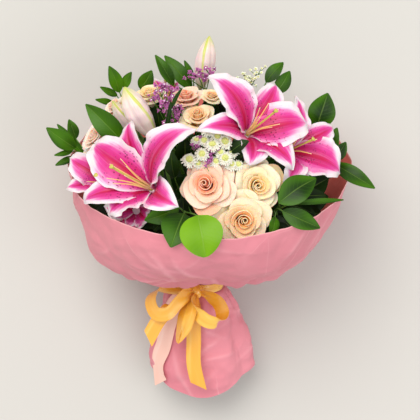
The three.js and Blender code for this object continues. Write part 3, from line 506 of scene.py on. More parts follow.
def leaf_look(name, dark, bright, back, gloss=.33):
    s = Shader(name, gloss, specular_ior_level=.16)
    across, along, side, seed = s.mark()
    off = abs(across)
    veins = abs((along * 9 - off * 2.2).math("FRACT") - .5).step(.12, 0)
    fine = s.noise((across * 12, along * 3, seed), 2, 3)
    patch = s.noise((across, along * 1.6, seed * 17), .7, 0)
    front = s.mix(seed * .5 + patch.step(.25, .75, -.1, .55), dark, bright)
    front = s.mix(veins * .16, front, bright)
    front = s.mix(off.step(.06, .02) * .3, front, "7a9c40")
    colour = s.mix(side, front, s.mix(off.step(.1, .03) * .7, back, "a9c476"))
    s.finish(colour, fine * .35 - veins * .12 - off.step(.1, 0) * .8, .0006)


def stem_look():
    s = Shader("stem", .45)
    streak = s.noise(s.place(), 120, 3)
    colour = s.mix(streak, "3f6a22", "6f9a3c")
    s.finish(s.mix(s.mark()[1].step(.012, 0), colour, "c8cf9a"), streak, .0004)


def floret_look(name, dark, bright, scale=700, roughness=.6):
    s = Shader(name, roughness, subsurface_weight=.08, subsurface_scale=.0005)
    _, along, _, seed = s.mark()
    grain = s.noise(s.place(), scale, 3)
    s.finish(s.mix(seed * .25, s.mix(along * .6 + grain * .5, dark, bright), dark), grain)


def paper_look():
    s = Shader("paper", .62, sheen_weight=.05, specular_ior_level=.3)
    _, along, side, fold = s.mark()
    place = s.place()
    cloud = s.noise(place, 7, 3)
    fibre = s.noise(place, 900, 4, .7)
    bent = s.node("VectorMath", {0: place, 1: s.at((cloud * .04, 0, cloud * .03))})
    creases = s.cells(bent, 13, "DISTANCE_TO_EDGE")
    fine = s.cells(bent, 34, "DISTANCE_TO_EDGE")
    strength = s.noise(place, 11).step(.45, .65)
    tone = cloud.step(.3, .7)
    colour = s.mix(side, s.mix(tone, "dd665c", "e88074"), s.mix(tone, "cf7986", "dc8a95"))
    # Lighter along the folds: partly the paper's own whitening where it was folded, partly a painted
    # highlight on the fold crests
    colour = s.mix(fold.step(.6, 2, 0, .3), colour, "f4b4bb")
    # Thin lighter lines along the crease pattern: partly wear where the paper was creased, partly a painted
    # highlight
    colour = s.mix(creases.step(.012, 0) * strength * .35, colour, "f2b3b8")
    # A painted highlight along the rim of the sheet
    colour = s.mix(along.step(.992, .998) * .6, colour, "f3bcbc")
    s.finish(colour, creases.step(.16, 0) * strength + fibre * .05 + fine.step(.12, 0) * .12, .0022)


def ribbon_look(name, dark, bright, gleam):
    s = Shader(name, .26, sheen_weight=.25, sheen_roughness=.35, anisotropic=.5, specular_ior_level=1)
    across, along, tail, _ = s.mark()
    threads = s.noise((across * 30, along * 1400, 0), 1)
    # Painted sheen: a noise pattern along the ribbon mixes its colour from dark to bright and paints glints
    # in the gleam colour, weaker on the tails
    painted_sheen = s.noise((across * .9, along * 14, tail), 1)
    calm = tail.step(0, 1, 1, .4)
    colour = s.mix(painted_sheen.step(.15, .6) * calm, dark, bright)
    colour = s.mix(painted_sheen.step(.52, .8) * calm, colour, gleam)
    hem = abs(across).step(.88, .94)
    s.finish(s.mix(hem * .3, colour, dark), threads * .5 + hem, .00012)


def twine_look():
    s = Shader("twine", .9)
    inputs = {"Vector": s.place(), "Scale": 420, "Distortion": 3}
    strands = s.node("TexWave", inputs, 1, bands_direction="X")
    s.finish(s.mix(strands, "8c6f45", "cbb083"), strands, .0006)


lily_petal_look()
lily_heart_look()
lily_bud_look()
rose_look("rose_cream", "f5e4c8", "f4d8a6", "f6cc78")
rose_look("rose_warm", "f9e6c8", "fad8a2", "faae60")
rose_look("rose_peach", "f8d6c0", "f7bb98", "f59a6a")
rose_look("rose_blush", "fbe8de", "f8dac8", "f4be9c")
leaf_look("leaf", "143002", "467808", "4a6a20")
# Painted shade: a near-black copy of the leaf look, for the leaves inside and low in the bouquet where shade
# falls
leaf_look("painted_shade_leaf", "0a1c02", "1c3a04", "2e4a14", .4)
leaf_look("pale_leaf", "386a04", "6e9e10", "7a9c34")
stem_look()
floret_look("daisy", "dcdabf", "f0eee6")
floret_look("daisy_heart", "b8c030", "fafab4", 1500)
floret_look("statice", "7c2e6e", "ca76b4", 1200, .75)
floret_look("statice_eye", "e9d8e4", "ffffff", 1200, .75)
floret_look("filler", "dfe3bc", "fbfbee")
paper_look()
# The third colour of each ribbon is its painted glint
ribbon_look("gold_ribbon", "e29a1c", "f6c048", "fddc86")
ribbon_look("blush_ribbon", "f5bba9", "fcd6c8", "fee6dc")
twine_look()


# Lilies

# The inner and the outer tepals: width, more spread, bluntness, place back, wave, frill and rise at the foot
TEPAL_KINDS = [(1, 0, .66, 0, 3.2, 1.8, 1.2), (.74, 6, .86, .9, 2, .9, -1.2)]
RUFFLES = [(3.7, 1), (6.3, .6), (9.6, .3)]


def tepal(piece, matrix, length, width, turn, spread, kind, phase, rng):
    _, _, blunt, set_back, waved, frilled, rise = kind
    u, v = weave(34, 19)
    lean = radians(TEPAL_START + spread * u**1.3)
    middle = (lean[1:] + lean[:-1]) / 2
    out, up = (vstack([[[0]], np.cumsum(way(middle), 0)]) * length / (len(u) - 1) for way in (sin, cos))
    out = out + TEPAL_ROOT
    half = width / 2 * (.17 * (1 - u) + .98 * sin(pi * clip(u, 0, .998) ** .88) ** blunt)
    aside = v * half
    far = lerp(out, np.hypot(out, aside), smooth(.08, .4, u)) + set_back * (1 - u)
    cup = .17 * half * v**2 * sin(pi * clip(u * 1.1, 0, 1))
    wave = waved * v**2 * sin(3.2 * pi * u + phase + np.where(v > 0, 1.3, 0)) * smooth(.15, .4, u)
    sides = vstack([v > 0, v <= 0])
    ruffles = sum(share * sin(2 * pi * beats * u + rng.uniform(0, 6.3, (1, 2)) @ sides)
                  for beats, share in RUFFLES)
    frill = frilled * ruffles * smooth(.5, 1, abs(v)) * sin(pi * u) ** .6
    groove = -2.4 * (1 - abs(v)) ** 3 * smooth(.05, .3, u) * (1 - u) ** .6
    ridges = .8 * exp(-((abs(v) - .17) / .08) ** 2) * smooth(.04, .2, u) * smooth(.8, .4, u)
    curl = -length * .05 * smooth(.78, 1, u) ** 2
    raised = cup + wave + frill + groove + ridges + curl + rise * smooth(0, .14, u)
    angle = radians(turn) + np.arctan2(aside, out)
    grid = polar(far - raised * cos(lean), angle, CORE_LIFT + up + raised * sin(lean))
    thick = PETAL_THICK * (.6 + .9 * (1 - abs(v)) * (1 - .6 * u))[..., None]
    blade(piece, moved(grid, matrix)[:, ::-1], thick[:, ::-1], together(v, u, 0, rng.random())[:, ::-1])


def lily_petals(name, matrix, length, width, spread, tepals):
    piece = Piece()
    rng = seeded(name)
    core = [[0, 0], [3, 0], [5.4, 2], [6.4, 5], [6.1, 8], [4.6, CORE_TOP], [0, CORE_TOP]]
    lathe(piece, core, 20, matrix, (.5, 0, 0, .5))
    for k, (turn, longer, wider, bend) in enumerate(tepals):
        kind = TEPAL_KINDS[k % 2]
        tepal(piece, matrix, length * longer, width * wider * kind[0], turn, spread + bend + kind[1], kind,
              1.7 * k, rng)
    piece.make(name, "lily_petal")


def lily_heart(name, matrix, filaments, reach):
    piece = Piece()
    rng = seeded(name)
    foot = CORE_TOP + GAP
    ovary = [[0, foot], [2.8, foot], [3.2, foot + 2], [2.6, foot + 6], [0, foot + 9]]
    lathe(piece, ovary, 12, matrix, (0, 0, 1, 0))
    pistil = smooth_line([[0, 0, foot + 2], [.5, .2, foot + .5 * reach], [2, 1, foot + .94 * reach],
                          [2.6, 1.6, foot + reach]], 22)
    radii = np.interp(linspace(0, 1, 22), [0, .5, .86, .94, 1], [1.4, 1, 1.3, 2.9, 2.5])
    tube(piece, moved(pistil, matrix), radii, 12, (0, 0, 1, 0), ridges=3)
    for k in range(filaments):
        turn = radians(360 * k / filaments + 25)
        bend = rng.uniform(-.12, .12)
        steps = [(1.4, 2, 0), (6, .42 * reach, bend), (15, .84 * reach, 2 * bend)]
        line = smooth_line([polar(r, turn + b, foot + z) for r, z, b in steps], 14)
        tube(piece, moved(line, matrix), linspace(1.25, .42, 14), 8, (0, 0, 0, rng.random()))
    piece.make(name, "lily_heart")


def lily_bud(name, root, facing, length, radius):
    piece = Piece()
    sides, rows = 48, 34
    u = weave(rows, 1)[0]
    turn = turns(sides)
    share = np.interp(u, [0, .05, .14, .34, .52, .7, .86, .96, 1],
                      [.2, .42, .62, .93, 1, .86, .52, .2, .04])
    twist = turn + .5 * u
    ridge = cos(1.5 * twist) ** 16
    groove = sin(1.5 * twist) ** 20
    r = radius * share * (1 + .1 * cos(3 * twist) + .05 * ridge - .07 * groove * smooth(.1, .3, u))
    points = vstack([polar(r, turn, length * u).reshape(-1, 3), [[0, 0, 0], [0, 0, length]]])
    marks = vstack([together(turn, u, ridge, .3).reshape(-1, 4), [[0, 0, 0, .3], [0, 1, 1, .3]]])
    piece.add(moved(points, standing(root, facing)), capped(rows, sides), marks)
    piece.make(name, "lily_bud")


# Roses

# Rings of petals from the heart out: petals, radius at the rim, height, half width in degrees, spiral,
# how far the rim rolls back, and how far it is drawn to a point
FULL_ROSE = [
    (1, 3, 39.5, 230, .5, .2, 0), (2, 6.6, 39.5, 122, .26, .9, .4), (2, 11.2, 39, 112, .24, 2, 1.5),
    (3, 16.6, 37.5, 84, .18, 3.6, 3), (3, 21.8, 34.5, 72, .12, 5, 4.5), (5, 27, 28, 50, .05, 5.5, 6.5),
]
BUD_ROSE = [
    (1, 3, 39.5, 230, .5, .2, 0), (2, 6.8, 39.5, 122, .26, 1, .4), (2, 11.6, 38.5, 108, .22, 2.2, 1.5),
    (3, 17.4, 36.5, 80, .16, 3.8, 3), (5, 24.4, 30, 54, .07, 5, 5.5),
]


def rose_petal(piece, matrix, scale, ring, turn, centre, rng):
    _, rim, height, half, spiral, roll, point = ring
    rim = rim * rng.uniform(.93, 1.06)
    height = height + rng.uniform(-1.2, 1.2)
    t, v = weave(19, 23)
    opened = rim / WIDEST_RING
    tall = t * (1 - lerp(.05, .2, opened) * abs(v) ** 2.6)
    foot = 3 + .1 * rim
    r = foot + (rim * (1 + spiral * v) - foot) * tall ** lerp(1.5, .9, smooth(.5, 1, opened))
    r = r - lerp(.12, 0, min(opened * 1.3, 1)) * rim * smooth(.6, 1, tall)
    lip = smooth(.66, 1, tall) ** 1.7
    sag = roll * (.7 + .6 * rng.random())
    wave = opened * .9 * sin(2.2 * v * pi + rng.uniform(0, 6.3)) * t**3
    crease = .5 * opened * exp(-((v / .2) ** 2)) * smooth(.3, .8, t)
    r = r + lip * (sag + point * (1 - abs(v)) ** 1.3) + wave - crease
    z = 4 + (height - 4) * tall ** lerp(.95, .8, opened) - lip * sag * (.45 + .9 * abs(v) ** 2) + .5 * wave
    angle = radians(turn + half * v * lerp(.4, 1, smooth(0, .3, t)))
    grid = polar(r, angle, z) + smooth(.2, .9, t)[..., None] * centre
    thick = (PETAL_THICK * scale * lerp(1, 1.15, smooth(.7, .97, tall)))[..., None]
    marks = together(v, t, .98 * opened, rng.random())
    blade(piece, moved(grid, matrix)[:, ::-1], thick[:, ::-1], marks[:, ::-1])


def sepal(piece, matrix, turn, rng):
    u, v = weave(7, 5)
    half = 4.5 * (1 - u) ** .8 + .2
    r = 5.6 + 13 * u + .6 * v**2
    z = 3 + 11 * u - 7 * u**3 + rng.uniform(-1, 1) * u
    grid = polar(r, radians(turn) + np.arctan2(v * half, r), z)
    blade(piece, moved(grid, matrix), .7, together(v, u, 0, .4), 1)


def rose(name, slot, material, matrix, scale, rings):
    piece = Piece()
    rng = seeded(name)
    lathe(piece, [[0, 0], [3, 0], [5.2, 2], [6.2, 5], [5.4, 8], [2.6, 12], [0, 12]], 16, matrix, material=1)
    way = rng.uniform(0, 2 * pi)
    for k, ring in enumerate(rings):
        centre = polar(HEART_LEAN * (1 - k / (len(rings) - 1)), way, 0)
        for petal in range(ring[0]):
            turn = 360 * petal / ring[0] + 47 * k + rng.uniform(-9, 9)
            rose_petal(piece, matrix, scale, ring, turn, centre, rng)
    for k in range(5):
        sepal(piece, matrix, 72 * k + rng.uniform(-6, 6), rng)
    piece.make(name, slot, (material, "leaf"), sharp=60)


# Small flowers

def ray_flower(piece, matrix, radius, rays, rng):
    """A small chrysanthemum: three rings of rays round a dome of tight florets"""
    cup = [[0, -.5], [.3, -.42], [.5, -.05], [.4, .3]]
    lathe(piece, array(cup) * radius, 12, matrix, (0, 0, 0, .5), 2)
    u, v = weave(5, 3)
    for ring, (reach, rise) in enumerate([(1, .06), (.86, .24), (.68, .5)]):
        for k in range(rays):
            turn = 2 * pi * (k + .5 * ring) / rays + rng.uniform(-.1, .1)
            length = radius * reach * rng.uniform(.8, 1.06) - .28 * radius
            half = .088 * radius * (1 - .45 * abs(2 * u - 1.1) ** 3)
            r = .28 * radius + length * u
            z = radius * (.3 + rise * u - (.22 + .16 * rng.random()) * u**2 - .1 * v**2)
            grid = polar(r, turn + np.arctan2(v * half, r), z)
            blade(piece, moved(grid, matrix), .35, together(v, u, 0, rng.random()))
    dome = .3 * radius
    for k in range(BEADS):
        share = (k + .5) / BEADS
        turn = radians(GOLDEN_TURN * k)
        top = radius * (.28 + .42 * math.sqrt(1 - share * .92))
        base = polar(dome * math.sqrt(share), turn, top - 1.6)
        way = unit(polar(dome * math.sqrt(share), turn, .9 * dome))
        tube(piece, moved([base, base + way * 1.5, base + way * 2.1], matrix), [.72, .68, .3], 5,
             (0, 1.2 * (1 - share), 0, share), 1)


def funnel(piece, matrix, radius, depth, seed, material):
    """A small papery funnel with a rim of five lobes"""
    count = 10
    notch = np.resize([1, .72], count)
    share, z, lobed = array([(.16, -depth, 0), (.3, -.5 * depth, 0), (.62, -.12 * depth, .5),
                                (1, 0, 1)]).T[..., None]
    grid = polar(radius * share * (1 - lobed * (1 - notch)), turns(count), z)
    both = vstack([grid, grid[::-1] * [.9, .9, 1] + [0, 0, .25]])
    marks = ring_marks((0, 0, 0, seed), [0, .4, .8, 1, 1, .8, .4, 0], count)
    piece.add(moved(both, matrix), [quads(8, count, True)], marks, material)


# Leaves

def leaf(piece, base, root, tip, wide, facing, rng, material=0, round_tip=0, coarse=False):
    start, end = array(root, float), array(tip, float)
    along = end - start
    length = norm(along)
    across = unit(np.cross(along, facing))
    up = unit(np.cross(across, along))
    u, v = weave(*(9, 5) if coarse else (22, 13) if wide > 24 else (16, 9))
    shape = sin(pi * clip(u, 0, .995) ** .86) ** lerp(.85, .55, round_tip)
    half = .6 + (wide / 2 - .6) * shape
    lift = .16 * half * abs(v) + .1 * length * sin(pi * u)
    lift = lift + rng.uniform(.3, .9) * sin(u * rng.uniform(6, 11) + rng.uniform(0, 6)) * abs(v) * shape
    swing = rng.uniform(-.03, .03) * length * sin(pi * u)
    grid = start + along * u[..., None] + across * (v * half + swing)[..., None] + up * lift[..., None]
    blade(piece, grid, LEAF_THICK, together(v, u, 0, rng.random()), material)
    steps, sides = (4, 4) if coarse else (8, 6)
    bow = lerp(np.asarray(base), start, .6) + up * .05 * length
    stalk = smooth_line([base, bow, start + along * .02], steps)
    tube(piece, stalk, linspace(1.2, .7, steps), sides, (0, 0, 0, .5), 1)


# What grows where, nearly all of it as in the solids

# Each lily: its root, the way that it faces, how long and wide its tepals are and how far they spread, its
# filaments and their share of the length, and each tepal's turn, length, width and bend
LILIES = {
    "left": ([-62, 22, 236], [-.6, .3, .74], 100, 48, 96, 6, .78, [
        [42, 1.22, .98, 20], [110, 1.02, 1, 0], [148, 1.06, 1.22, 0], [200, 1.02, .95, 0], [226, .68, 1, 0],
        [334, .74, 1.1, 32]]),
    "right": ([39, 86, 214], [.44, .34, .8], 88, 46, 96, 6, .78, [
        [2, .98, 1.2, 0], [56, .98, 1.1, 0], [134, 1.16, 1.1, 4], [184, 1.16, .95, 12], [252, .68, 1, 0],
        [306, .96, 1.2, 0]]),
    "far_left": ([-110, 28, 204], [-.55, .25, .8], 74, 38, 84, 2, .5, [
        [152, .94, .95, 0], [192, .9, .8, 0], [30, .4, .8, 0], [90, .45, .9, 0], [256, .4, .9, 0],
        [322, .4, .9, 0]]),
    "far_right": ([86, 68, 190], [.62, .26, .74], 82, 45, 92, 3, .55, [
        [326, .97, 1.25, 0], [22, 1, .9, 2], [84, .92, .65, 6], [160, .4, .8, 0], [238, .82, .8, 14],
        [286, .6, .9, 0]]),
    "top": ([-54, 124, 134], [-.05, .8, .6], 38, 26, 80, 3, .78, [
        [0, .85, 1, 0], [60, 1, 1, 0], [120, 1, 1, 0], [180, 1, 1, 0], [240, .9, 1, 0], [300, .7, 1, 0]]),
    "low_left": ([-84, 2, 222], [-.3, -.25, .92], 46, 34, 70, 0, 0, [
        [164, .92, .8, 4], [214, .66, 1, 0], [330, .5, 1, 0], [32, .86, .8, 0], [90, .5, 1, 0],
        [270, .6, 1, 0]]),
}

# Each bud: its root, the way that it faces, length and radius
LILY_BUDS = {
    "top": ([-12, 148, 138], [.17, .95, .24], 66, 12),
    "left": ([-68, 88, 202], [-.44, .76, .48], 74, 15),
    "left_small": ([-88, 88, 178], [-.5, .74, .42], 56, 9),
}

# The blooms and buds of each lily stem, the one at its end first
LILY_STEMS = {
    "left": [LILIES["left"], LILY_BUDS["left"], LILY_BUDS["left_small"]],
    "right": [LILIES["right"], LILIES["far_right"]],
    "far_left": [LILIES["far_left"], LILIES["low_left"]],
    "top": [LILIES["top"], LILY_BUDS["top"]],
}

# Each rose: the middle of its face, the way that it faces, roll, scale, rings, and the tones of its slot and
# of its material
ROSES = {
    "front_peach": ([-3, 29, 268], [-.12, .12, .98], 20, .93, FULL_ROSE, "peach", "peach"),
    "front_cream": ([58, 32, 254], [.3, .1, .95], 70, .94, FULL_ROSE, "cream", "cream"),
    "front_low": ([37, -16, 264], [.05, -.28, .95], 0, 1, FULL_ROSE, "cream", "warm"),
    "top_middle": ([-15, 113, 227], [-.1, .62, .78], 10, .68, BUD_ROSE, "peach", "warm"),
    "top_back": ([-28, 139, 207], [-.1, .8, .6], 40, .62, BUD_ROSE, "peach", "peach"),
    "top_right": ([3, 138, 213], [.15, .75, .62], 80, .44, BUD_ROSE, "peach", "warm"),
    "top_left": ([-75, 142, 190], [-.2, .8, .56], 60, .68, BUD_ROSE, "cream", "cream"),
    "left": ([-142, 92, 176], [-.72, .5, .46], 0, .84, BUD_ROSE, "peach", "blush"),
    "left_top": ([-115, 129, 170], [-.55, .72, .42], 30, .66, BUD_ROSE, "peach", "blush"),
}
ROSE_ROOTS = {name: array(rose[0]) - unit(rose[1]) * ROSE_FACE * rose[3] for name, rose in ROSES.items()}

# Each spray: where its stalks part, the way that it faces, and their tips
SPRAYS = {
    "daisy_spray": ([0, 52, 196], [.03, .4, .9], [
        [-2, 91, 262], [17, 79, 262], [3, 74, 267], [-9, 64, 266], [18, 59, 264], [-24, 57, 262],
        [24, 52, 258], [10, 95, 256], [-15, 80, 260], [32, 52, 254], [-6, 80, 262], [8, 84, 262],
        [12, 66, 262], [-14, 54, 258], [6, 56, 260], [26, 66, 256]]),
    "statice_left": ([-52, 104, 180], [-.15, .6, .78], [
        [-68, 134, 212], [-57, 124, 224], [-58, 139, 212], [-50, 128, 222], [-53, 117, 226],
        [-43, 121, 224], [-53, 146, 210], [-36, 118, 226], [-44, 115, 228], [-48, 105, 228],
        [-38, 107, 228], [-48, 140, 214]]),
    "statice_top": ([-6, 148, 150], [0, .7, .7], [
        [-24, 162, 180], [-14, 166, 178], [-6, 160, 184], [0, 167, 178]]),
    "filler_spray": ([38, 134, 150], [0, .6, .8], [
        [35, 156, 176], [42, 164, 175], [49, 158, 178], [56, 165, 174]]),
}

# Where purple florets stand among the daisies
AMONG_DAISIES = [[-16, 74, 266], [2, 67, 268], [-2, 58, 268], [-9, 82, 262], [14, 88, 258]]

# Each leafy stalk: its top, and the root, tip, width and facing of each leaf, which faces up if none is given
FOLIAGE = {
    "left": ([-150, 66, 150], [
        (-162, 74, 160, -197, 99, 172, 21, -.2, .1, 1), (-153, 68, 158, -185, 104, 156, 12, -.3, .2, .9),
        (-162, 86, 164, -170, 109, 172, 14, .2, .1, 1), (-166, 72, 156, -188, 66, 165, 7),
        (-166, 64, 151, -187, 54, 160, 9, -.1, .1, 1)]),
    "left_wide": ([-88, 62, 186], [(-99, 76, 200, -148, 126, 198, 28, -.2, 0, 1)]),
    "left_top": ([-102, 122, 130], [
        (-110, 143, 148, -122, 174, 162, 17, .2, 0, 1), (-104, 148, 150, -95, 167, 160, 12, -.3, 0, 1),
        (-113, 139, 146, -133, 149, 158, 9), (-118, 130, 138, -139, 134, 152, 8)]),
    "top_left": ([-86, 126, 158], [(-84, 146, 166, -70, 168, 174, 19, .3, 0, 1)]),
    "top": ([-20, 142, 138], [
        (-44, 150, 162, -66, 187, 166, 15, .3, .1, .9), (-22, 146, 158, -55, 187, 156, 19, -.1, .1, 1),
        (-20, 160, 152, -31, 181, 158, 8)]),
    "right_top": ([62, 138, 168], [
        (67, 153, 182, 88, 177, 180, 17, -.3, 0, 1), (78, 140, 176, 96, 167, 174, 19, .3, 0, 1)]),
    "right": ([132, 66, 150], [
        (128, 98, 166, 142, 141, 168, 34, .1, -.2, 1), (143, 62, 172, 153, 99, 172, 19, -.3, 0, 1),
        (148, 60, 164, 164, 82, 166, 17, .3, 0, 1), (150, 56, 166, 198, 26, 178, 21, .1, .2, 1)]),
    "front_right": ([82, 4, 226], [
        (80, 8, 252, 124, 37, 242, 33, -.1, .1, 1), (84, -1, 258, 128, -21, 257, 23, .1, 0, 1),
        (94, 8, 238, 158, 12, 213, 7, .2, 0, 1), (76, -8, 244, 70, -31, 256, 13, .4, .2, .8)]),
    "middle": ([40, 56, 200], [
        (46, 72, 230, 26, 80, 238, 13, .2, -.2, 1), (38, 62, 232, 40, 44, 240, 10, -.2, 0, 1),
        (24, 67, 260, 45, 80, 266, 15, -.2, .3, 1)]),
    "inner_left": ([-34, 22, 204], [
        (-22, -4, 236, 0, -26, 250, 20, .2, 0, 1), (-32, 16, 222, -30, -8, 230, 14, -.4, .2, 1),
        (-42, 38, 220, -46, 70, 222, 18, -.2, .2, 1), (-44, -2, 222, -66, -24, 242, 20, -.1, 0, 1),
        (-100, 4, 190, -142, 6, 186, 28), (-92, -10, 200, -124, -20, 206, 26)]),
    "inner_top": ([-24, 78, 186], [
        (-42, 94, 202, -52, 82, 220, 9), (-26, 88, 206, -34, 80, 232, 14, -.2, .2, 1),
        (-10, 84, 204, 12, 102, 220, 14, .1, 0, 1), (-20, 66, 201, -14, 40, 207, 22),
        (-48, 92, 172, -40, 134, 186, 30), (-60, 96, 168, -66, 134, 180, 26),
        (-30, 56, 196, -30, 86, 210, 24), (-2, 98, 176, 2, 138, 190, 26),
        (14, 100, 172, 26, 138, 182, 26), (-52, 94, 236, -46, 126, 246, 6, .1, 0, 1),
        (-46, 118, 238, -33, 142, 242, 5, -.3, .1, 1)]),
    "inner_right": ([94, 20, 196], [
        (98, 16, 214, 138, 18, 196, 18, .1, .2, 1), (86, 34, 214, 78, 60, 216, 18),
        (104, 14, 186, 142, 38, 180, 32, 0, .1, 1), (106, 20, 178, 138, 66, 170, 30, 0, .1, 1),
        (106, 4, 186, 142, 16, 178, 30, 0, .1, 1), (104, -8, 192, 134, -4, 190, 26, 0, .1, 1)]),
    "front": ([-30, -2, 246], [
        (-14, -6, 282, -5, -54, 290, 50, 0, -.1, 1), (-30, -4, 268, -45, -43, 289, 40, -.2, -.2, 1),
        (-36, 4, 254, -76, -12, 264, 24, .1, -.1, 1)]),
}


# Stems

def stem_slots():
    """Places for the stems, in close rows across the bundle"""
    places = [(STEM_PITCH * (column + (.5 if row % 2 else 0) - .5),
               STEM_PITCH * (row * math.sqrt(.75) - math.sqrt(1 / 12)))
              for row in range(-4, 5) for column in range(-4, 5)]
    return [place for place in places if math.hypot(*place) < BUNDLE_RADIUS]


def deal_slots(ends):
    """Gives every stem the slot that best fits its way, so that no two stems cross"""
    wanted = (array(list(ends.values())) - NECK) @ stack([ASIDE, FORWARD], 1) * (BUNDLE_RADIUS / 160)
    slots = stem_slots()

    def cost(k, slot):
        return (slot[0] - wanted[k][0]) ** 2 + (slot[1] - wanted[k][1]) ** 2 if k < len(wanted) else 0

    swapped = True
    while swapped:
        swapped = False
        for i in range(len(wanted)):
            for j in range(i + 1, len(slots)):
                now = cost(i, slots[i]) + cost(j, slots[j])
                if cost(i, slots[j]) + cost(j, slots[i]) <= now - 1e-6:
                    slots[i], slots[j] = slots[j], slots[i]
                    swapped = True
    return dict(zip(ends, slots))


SLOTS = deal_slots({
    **{f"lily_{name}": blooms[0][0] for name, blooms in LILY_STEMS.items()},
    **ROSE_ROOTS,
    **{name: spray[0] for name, spray in SPRAYS.items()},
    **{f"leaves_{name}": stalk[0] for name, stalk in FOLIAGE.items()},
})


def in_bundle(slot, along, spread):
    """A place in the bundle: along the stems from the neck, and wider apart by spread"""
    up = HEADS * max(along, -NECK_STRAIGHT) + FEET * max(-along - NECK_STRAIGHT, 0)
    return NECK + up + ASIDE * slot[0] * spread + FORWARD * slot[1] * spread


def stem_line(name, top, way):
    """The line of a stem from its cut end, through its slot in the neck, up to top along way"""
    slot = SLOTS[name]
    before = top - 22 * unit(way)
    cut = 96 + 3 * ((slot[0] * 1.3 + slot[1] * 2.1 + 90) % 5)
    spread = in_bundle(slot, 58, 2)
    bound = [in_bundle(slot, -NECK_STRAIGHT, 1), in_bundle(slot, 12, 1)]
    outward = unit(spread - bound[1]) * norm(spread - before) * .45
    between = lerp(spread + outward, lerp(spread, before, .55), .6)
    return [in_bundle(slot, -cut, 1.4), *bound, spread, between, before, top]


def stem(piece, line, thin, material=0):
    radii = np.interp(linspace(0, 1, 44), [0, .3, 1], [2.8, STEM_RADIUS * .96, thin])
    tube(piece, smooth_line(line, 44), radii, 10, (0, 0, 0, .5), material)


def stalk(piece, line, radius, sides=4, material=2):
    tube(piece, line, radius, sides, (0, .5, 0, .5), material)


# The two sheets of paper

def around_neck(turn):
    return cos(turn)[..., None] * ASIDE + sin(turn)[..., None] * FORWARD


def creased(points, seed, scales):
    """Crumples: a crease runs wherever the sum of a few waves, along random ways, changes sign"""
    rng = np.random.default_rng(seed)
    total = 0
    for length, size in scales:
        waves = 0
        for _ in range(WAVES):
            way = unit(rng.normal(size=3)) * 2 * pi
            waves = waves + sin(points @ way / (length * rng.uniform(.7, 1.4)) + rng.uniform(0, 6.3))
        total = total + size * (.5 - abs(waves) / math.sqrt(WAVES) * .8) * rng.choice([-1, 1])
    return total


def folded(points, seed, count):
    """Sharp straight folds, each where the sheet meets a random plane near one of its own places"""
    rng = np.random.default_rng(seed)
    places = points.reshape(-1, 3)
    total = 0
    for _ in range(count):
        away = points - places[rng.integers(len(places))]
        near = exp(-((norm(away, axis=-1) / rng.uniform(24, 70)) ** 2))
        crest = exp(-abs(away @ unit(rng.normal(size=3))) / FOLD_WIDTH)
        total = maximum(total, rng.uniform(.4, 1) * near * crest)
    return FOLD_HEIGHT * total


def wrapping(name, grid, turn, along, folds, lift):
    """One sheet of the paper, with its crumples and folds raised off a plain grid"""
    piece = Piece()
    grid = pressed(grid - normals(grid, True) * lift[..., None], LOWEST)
    sleeve(piece, grid, PAPER_THICK, together(turn, along, 0, folds))
    piece.make(name, "paper", sharp=35)


def collar_point(turn, t):
    turn, t = np.broadcast_arrays(turn, t)
    out = around_neck(turn)
    front, sideways, t = sin(turn)[..., None], cos(turn)[..., None], t[..., None]
    towards = maximum(front, 0) ** 2
    away = maximum(-front, 0) ** 2
    right = array([1, 0, 0])
    start = NECK + HEADS * 8 + out * COLLAR_NECK_RADIUS
    rim = RIM_CENTRE + RIM_RADIUS * (right * sideways + array([0, -sin(RIM_TILT), cos(RIM_TILT)]) * front)
    corner = np.where(sideways < 0, CORNER_LEFT, CORNER_RIGHT)
    belly = start + out * (lerp(corner, 50, towards) - 30 * away) + HEADS * 5
    side = rim - HEADS * (lerp(112, 56, towards) + 10 * away) - right * 32 * sideways
    p = (1 - t) ** 3 * start + 3 * (1 - t) ** 2 * t * belly + 3 * (1 - t) * t**2 * side + t**3 * rim
    crease = 2.4 * sin(7 * turn + 1) + 1.6 * sin(12 * turn)
    return p + out * (crease[..., None] * sin(pi * t))


def collar():
    turn = turns(330)
    t = weave(84, 1)[0] ** .9
    neck = [NECK + HEADS * along + around_neck(turn) * COLLAR_NECK_RADIUS for along in (-8, -3, 3)]
    grid = vstack([*neck, collar_point(turn, t)])
    t = vstack([np.zeros((3, 1)), t])
    low_part = smooth(.75, .25, t) * smooth(0, .1, t)
    lift = creased(grid, 3, [(170, 5), (95, 4.5), (52, 2.6), (27, 1.2)]) * (.6 + .7 * low_part)
    gathers = 1.6 * sin(23 * turn + 2 * sin(3 * turn)) * smooth(.3, .03, t)
    folds = folded(grid, 5, 90)
    lift = (lift + folds - gathers * smooth(0, .05, t)) * smooth(0, .04, t)
    wrapping("wrap_collar", grid, turn, t, folds, lift)


def skirt_point(turn, t):
    turn, t = np.broadcast_arrays(turn, t)
    reach = (103 + 33 * maximum(sin(turn - radians(6)), 0) ** 1.5) * t
    opened = maximum(t, 0) ** .5
    crease = t * (1.8 * sin(5 * turn + 2) + 1.2 * sin(9 * turn))
    tuck = 1 - .12 * smooth(.8, 1, t) * maximum(sin(turn), 0)
    p = NECK - HEADS * 9 + reach[..., None] * FEET
    for half, swing, way in [(SKIRT_HALF_WIDTH, cos(turn), ASIDE), (SKIRT_HALF_HEIGHT, sin(turn), FORWARD)]:
        p = p + ((lerp(SKIRT_NECK_RADIUS, half, opened) + crease) * tuck * swing)[..., None] * way
    return pressed(p, LOWEST)


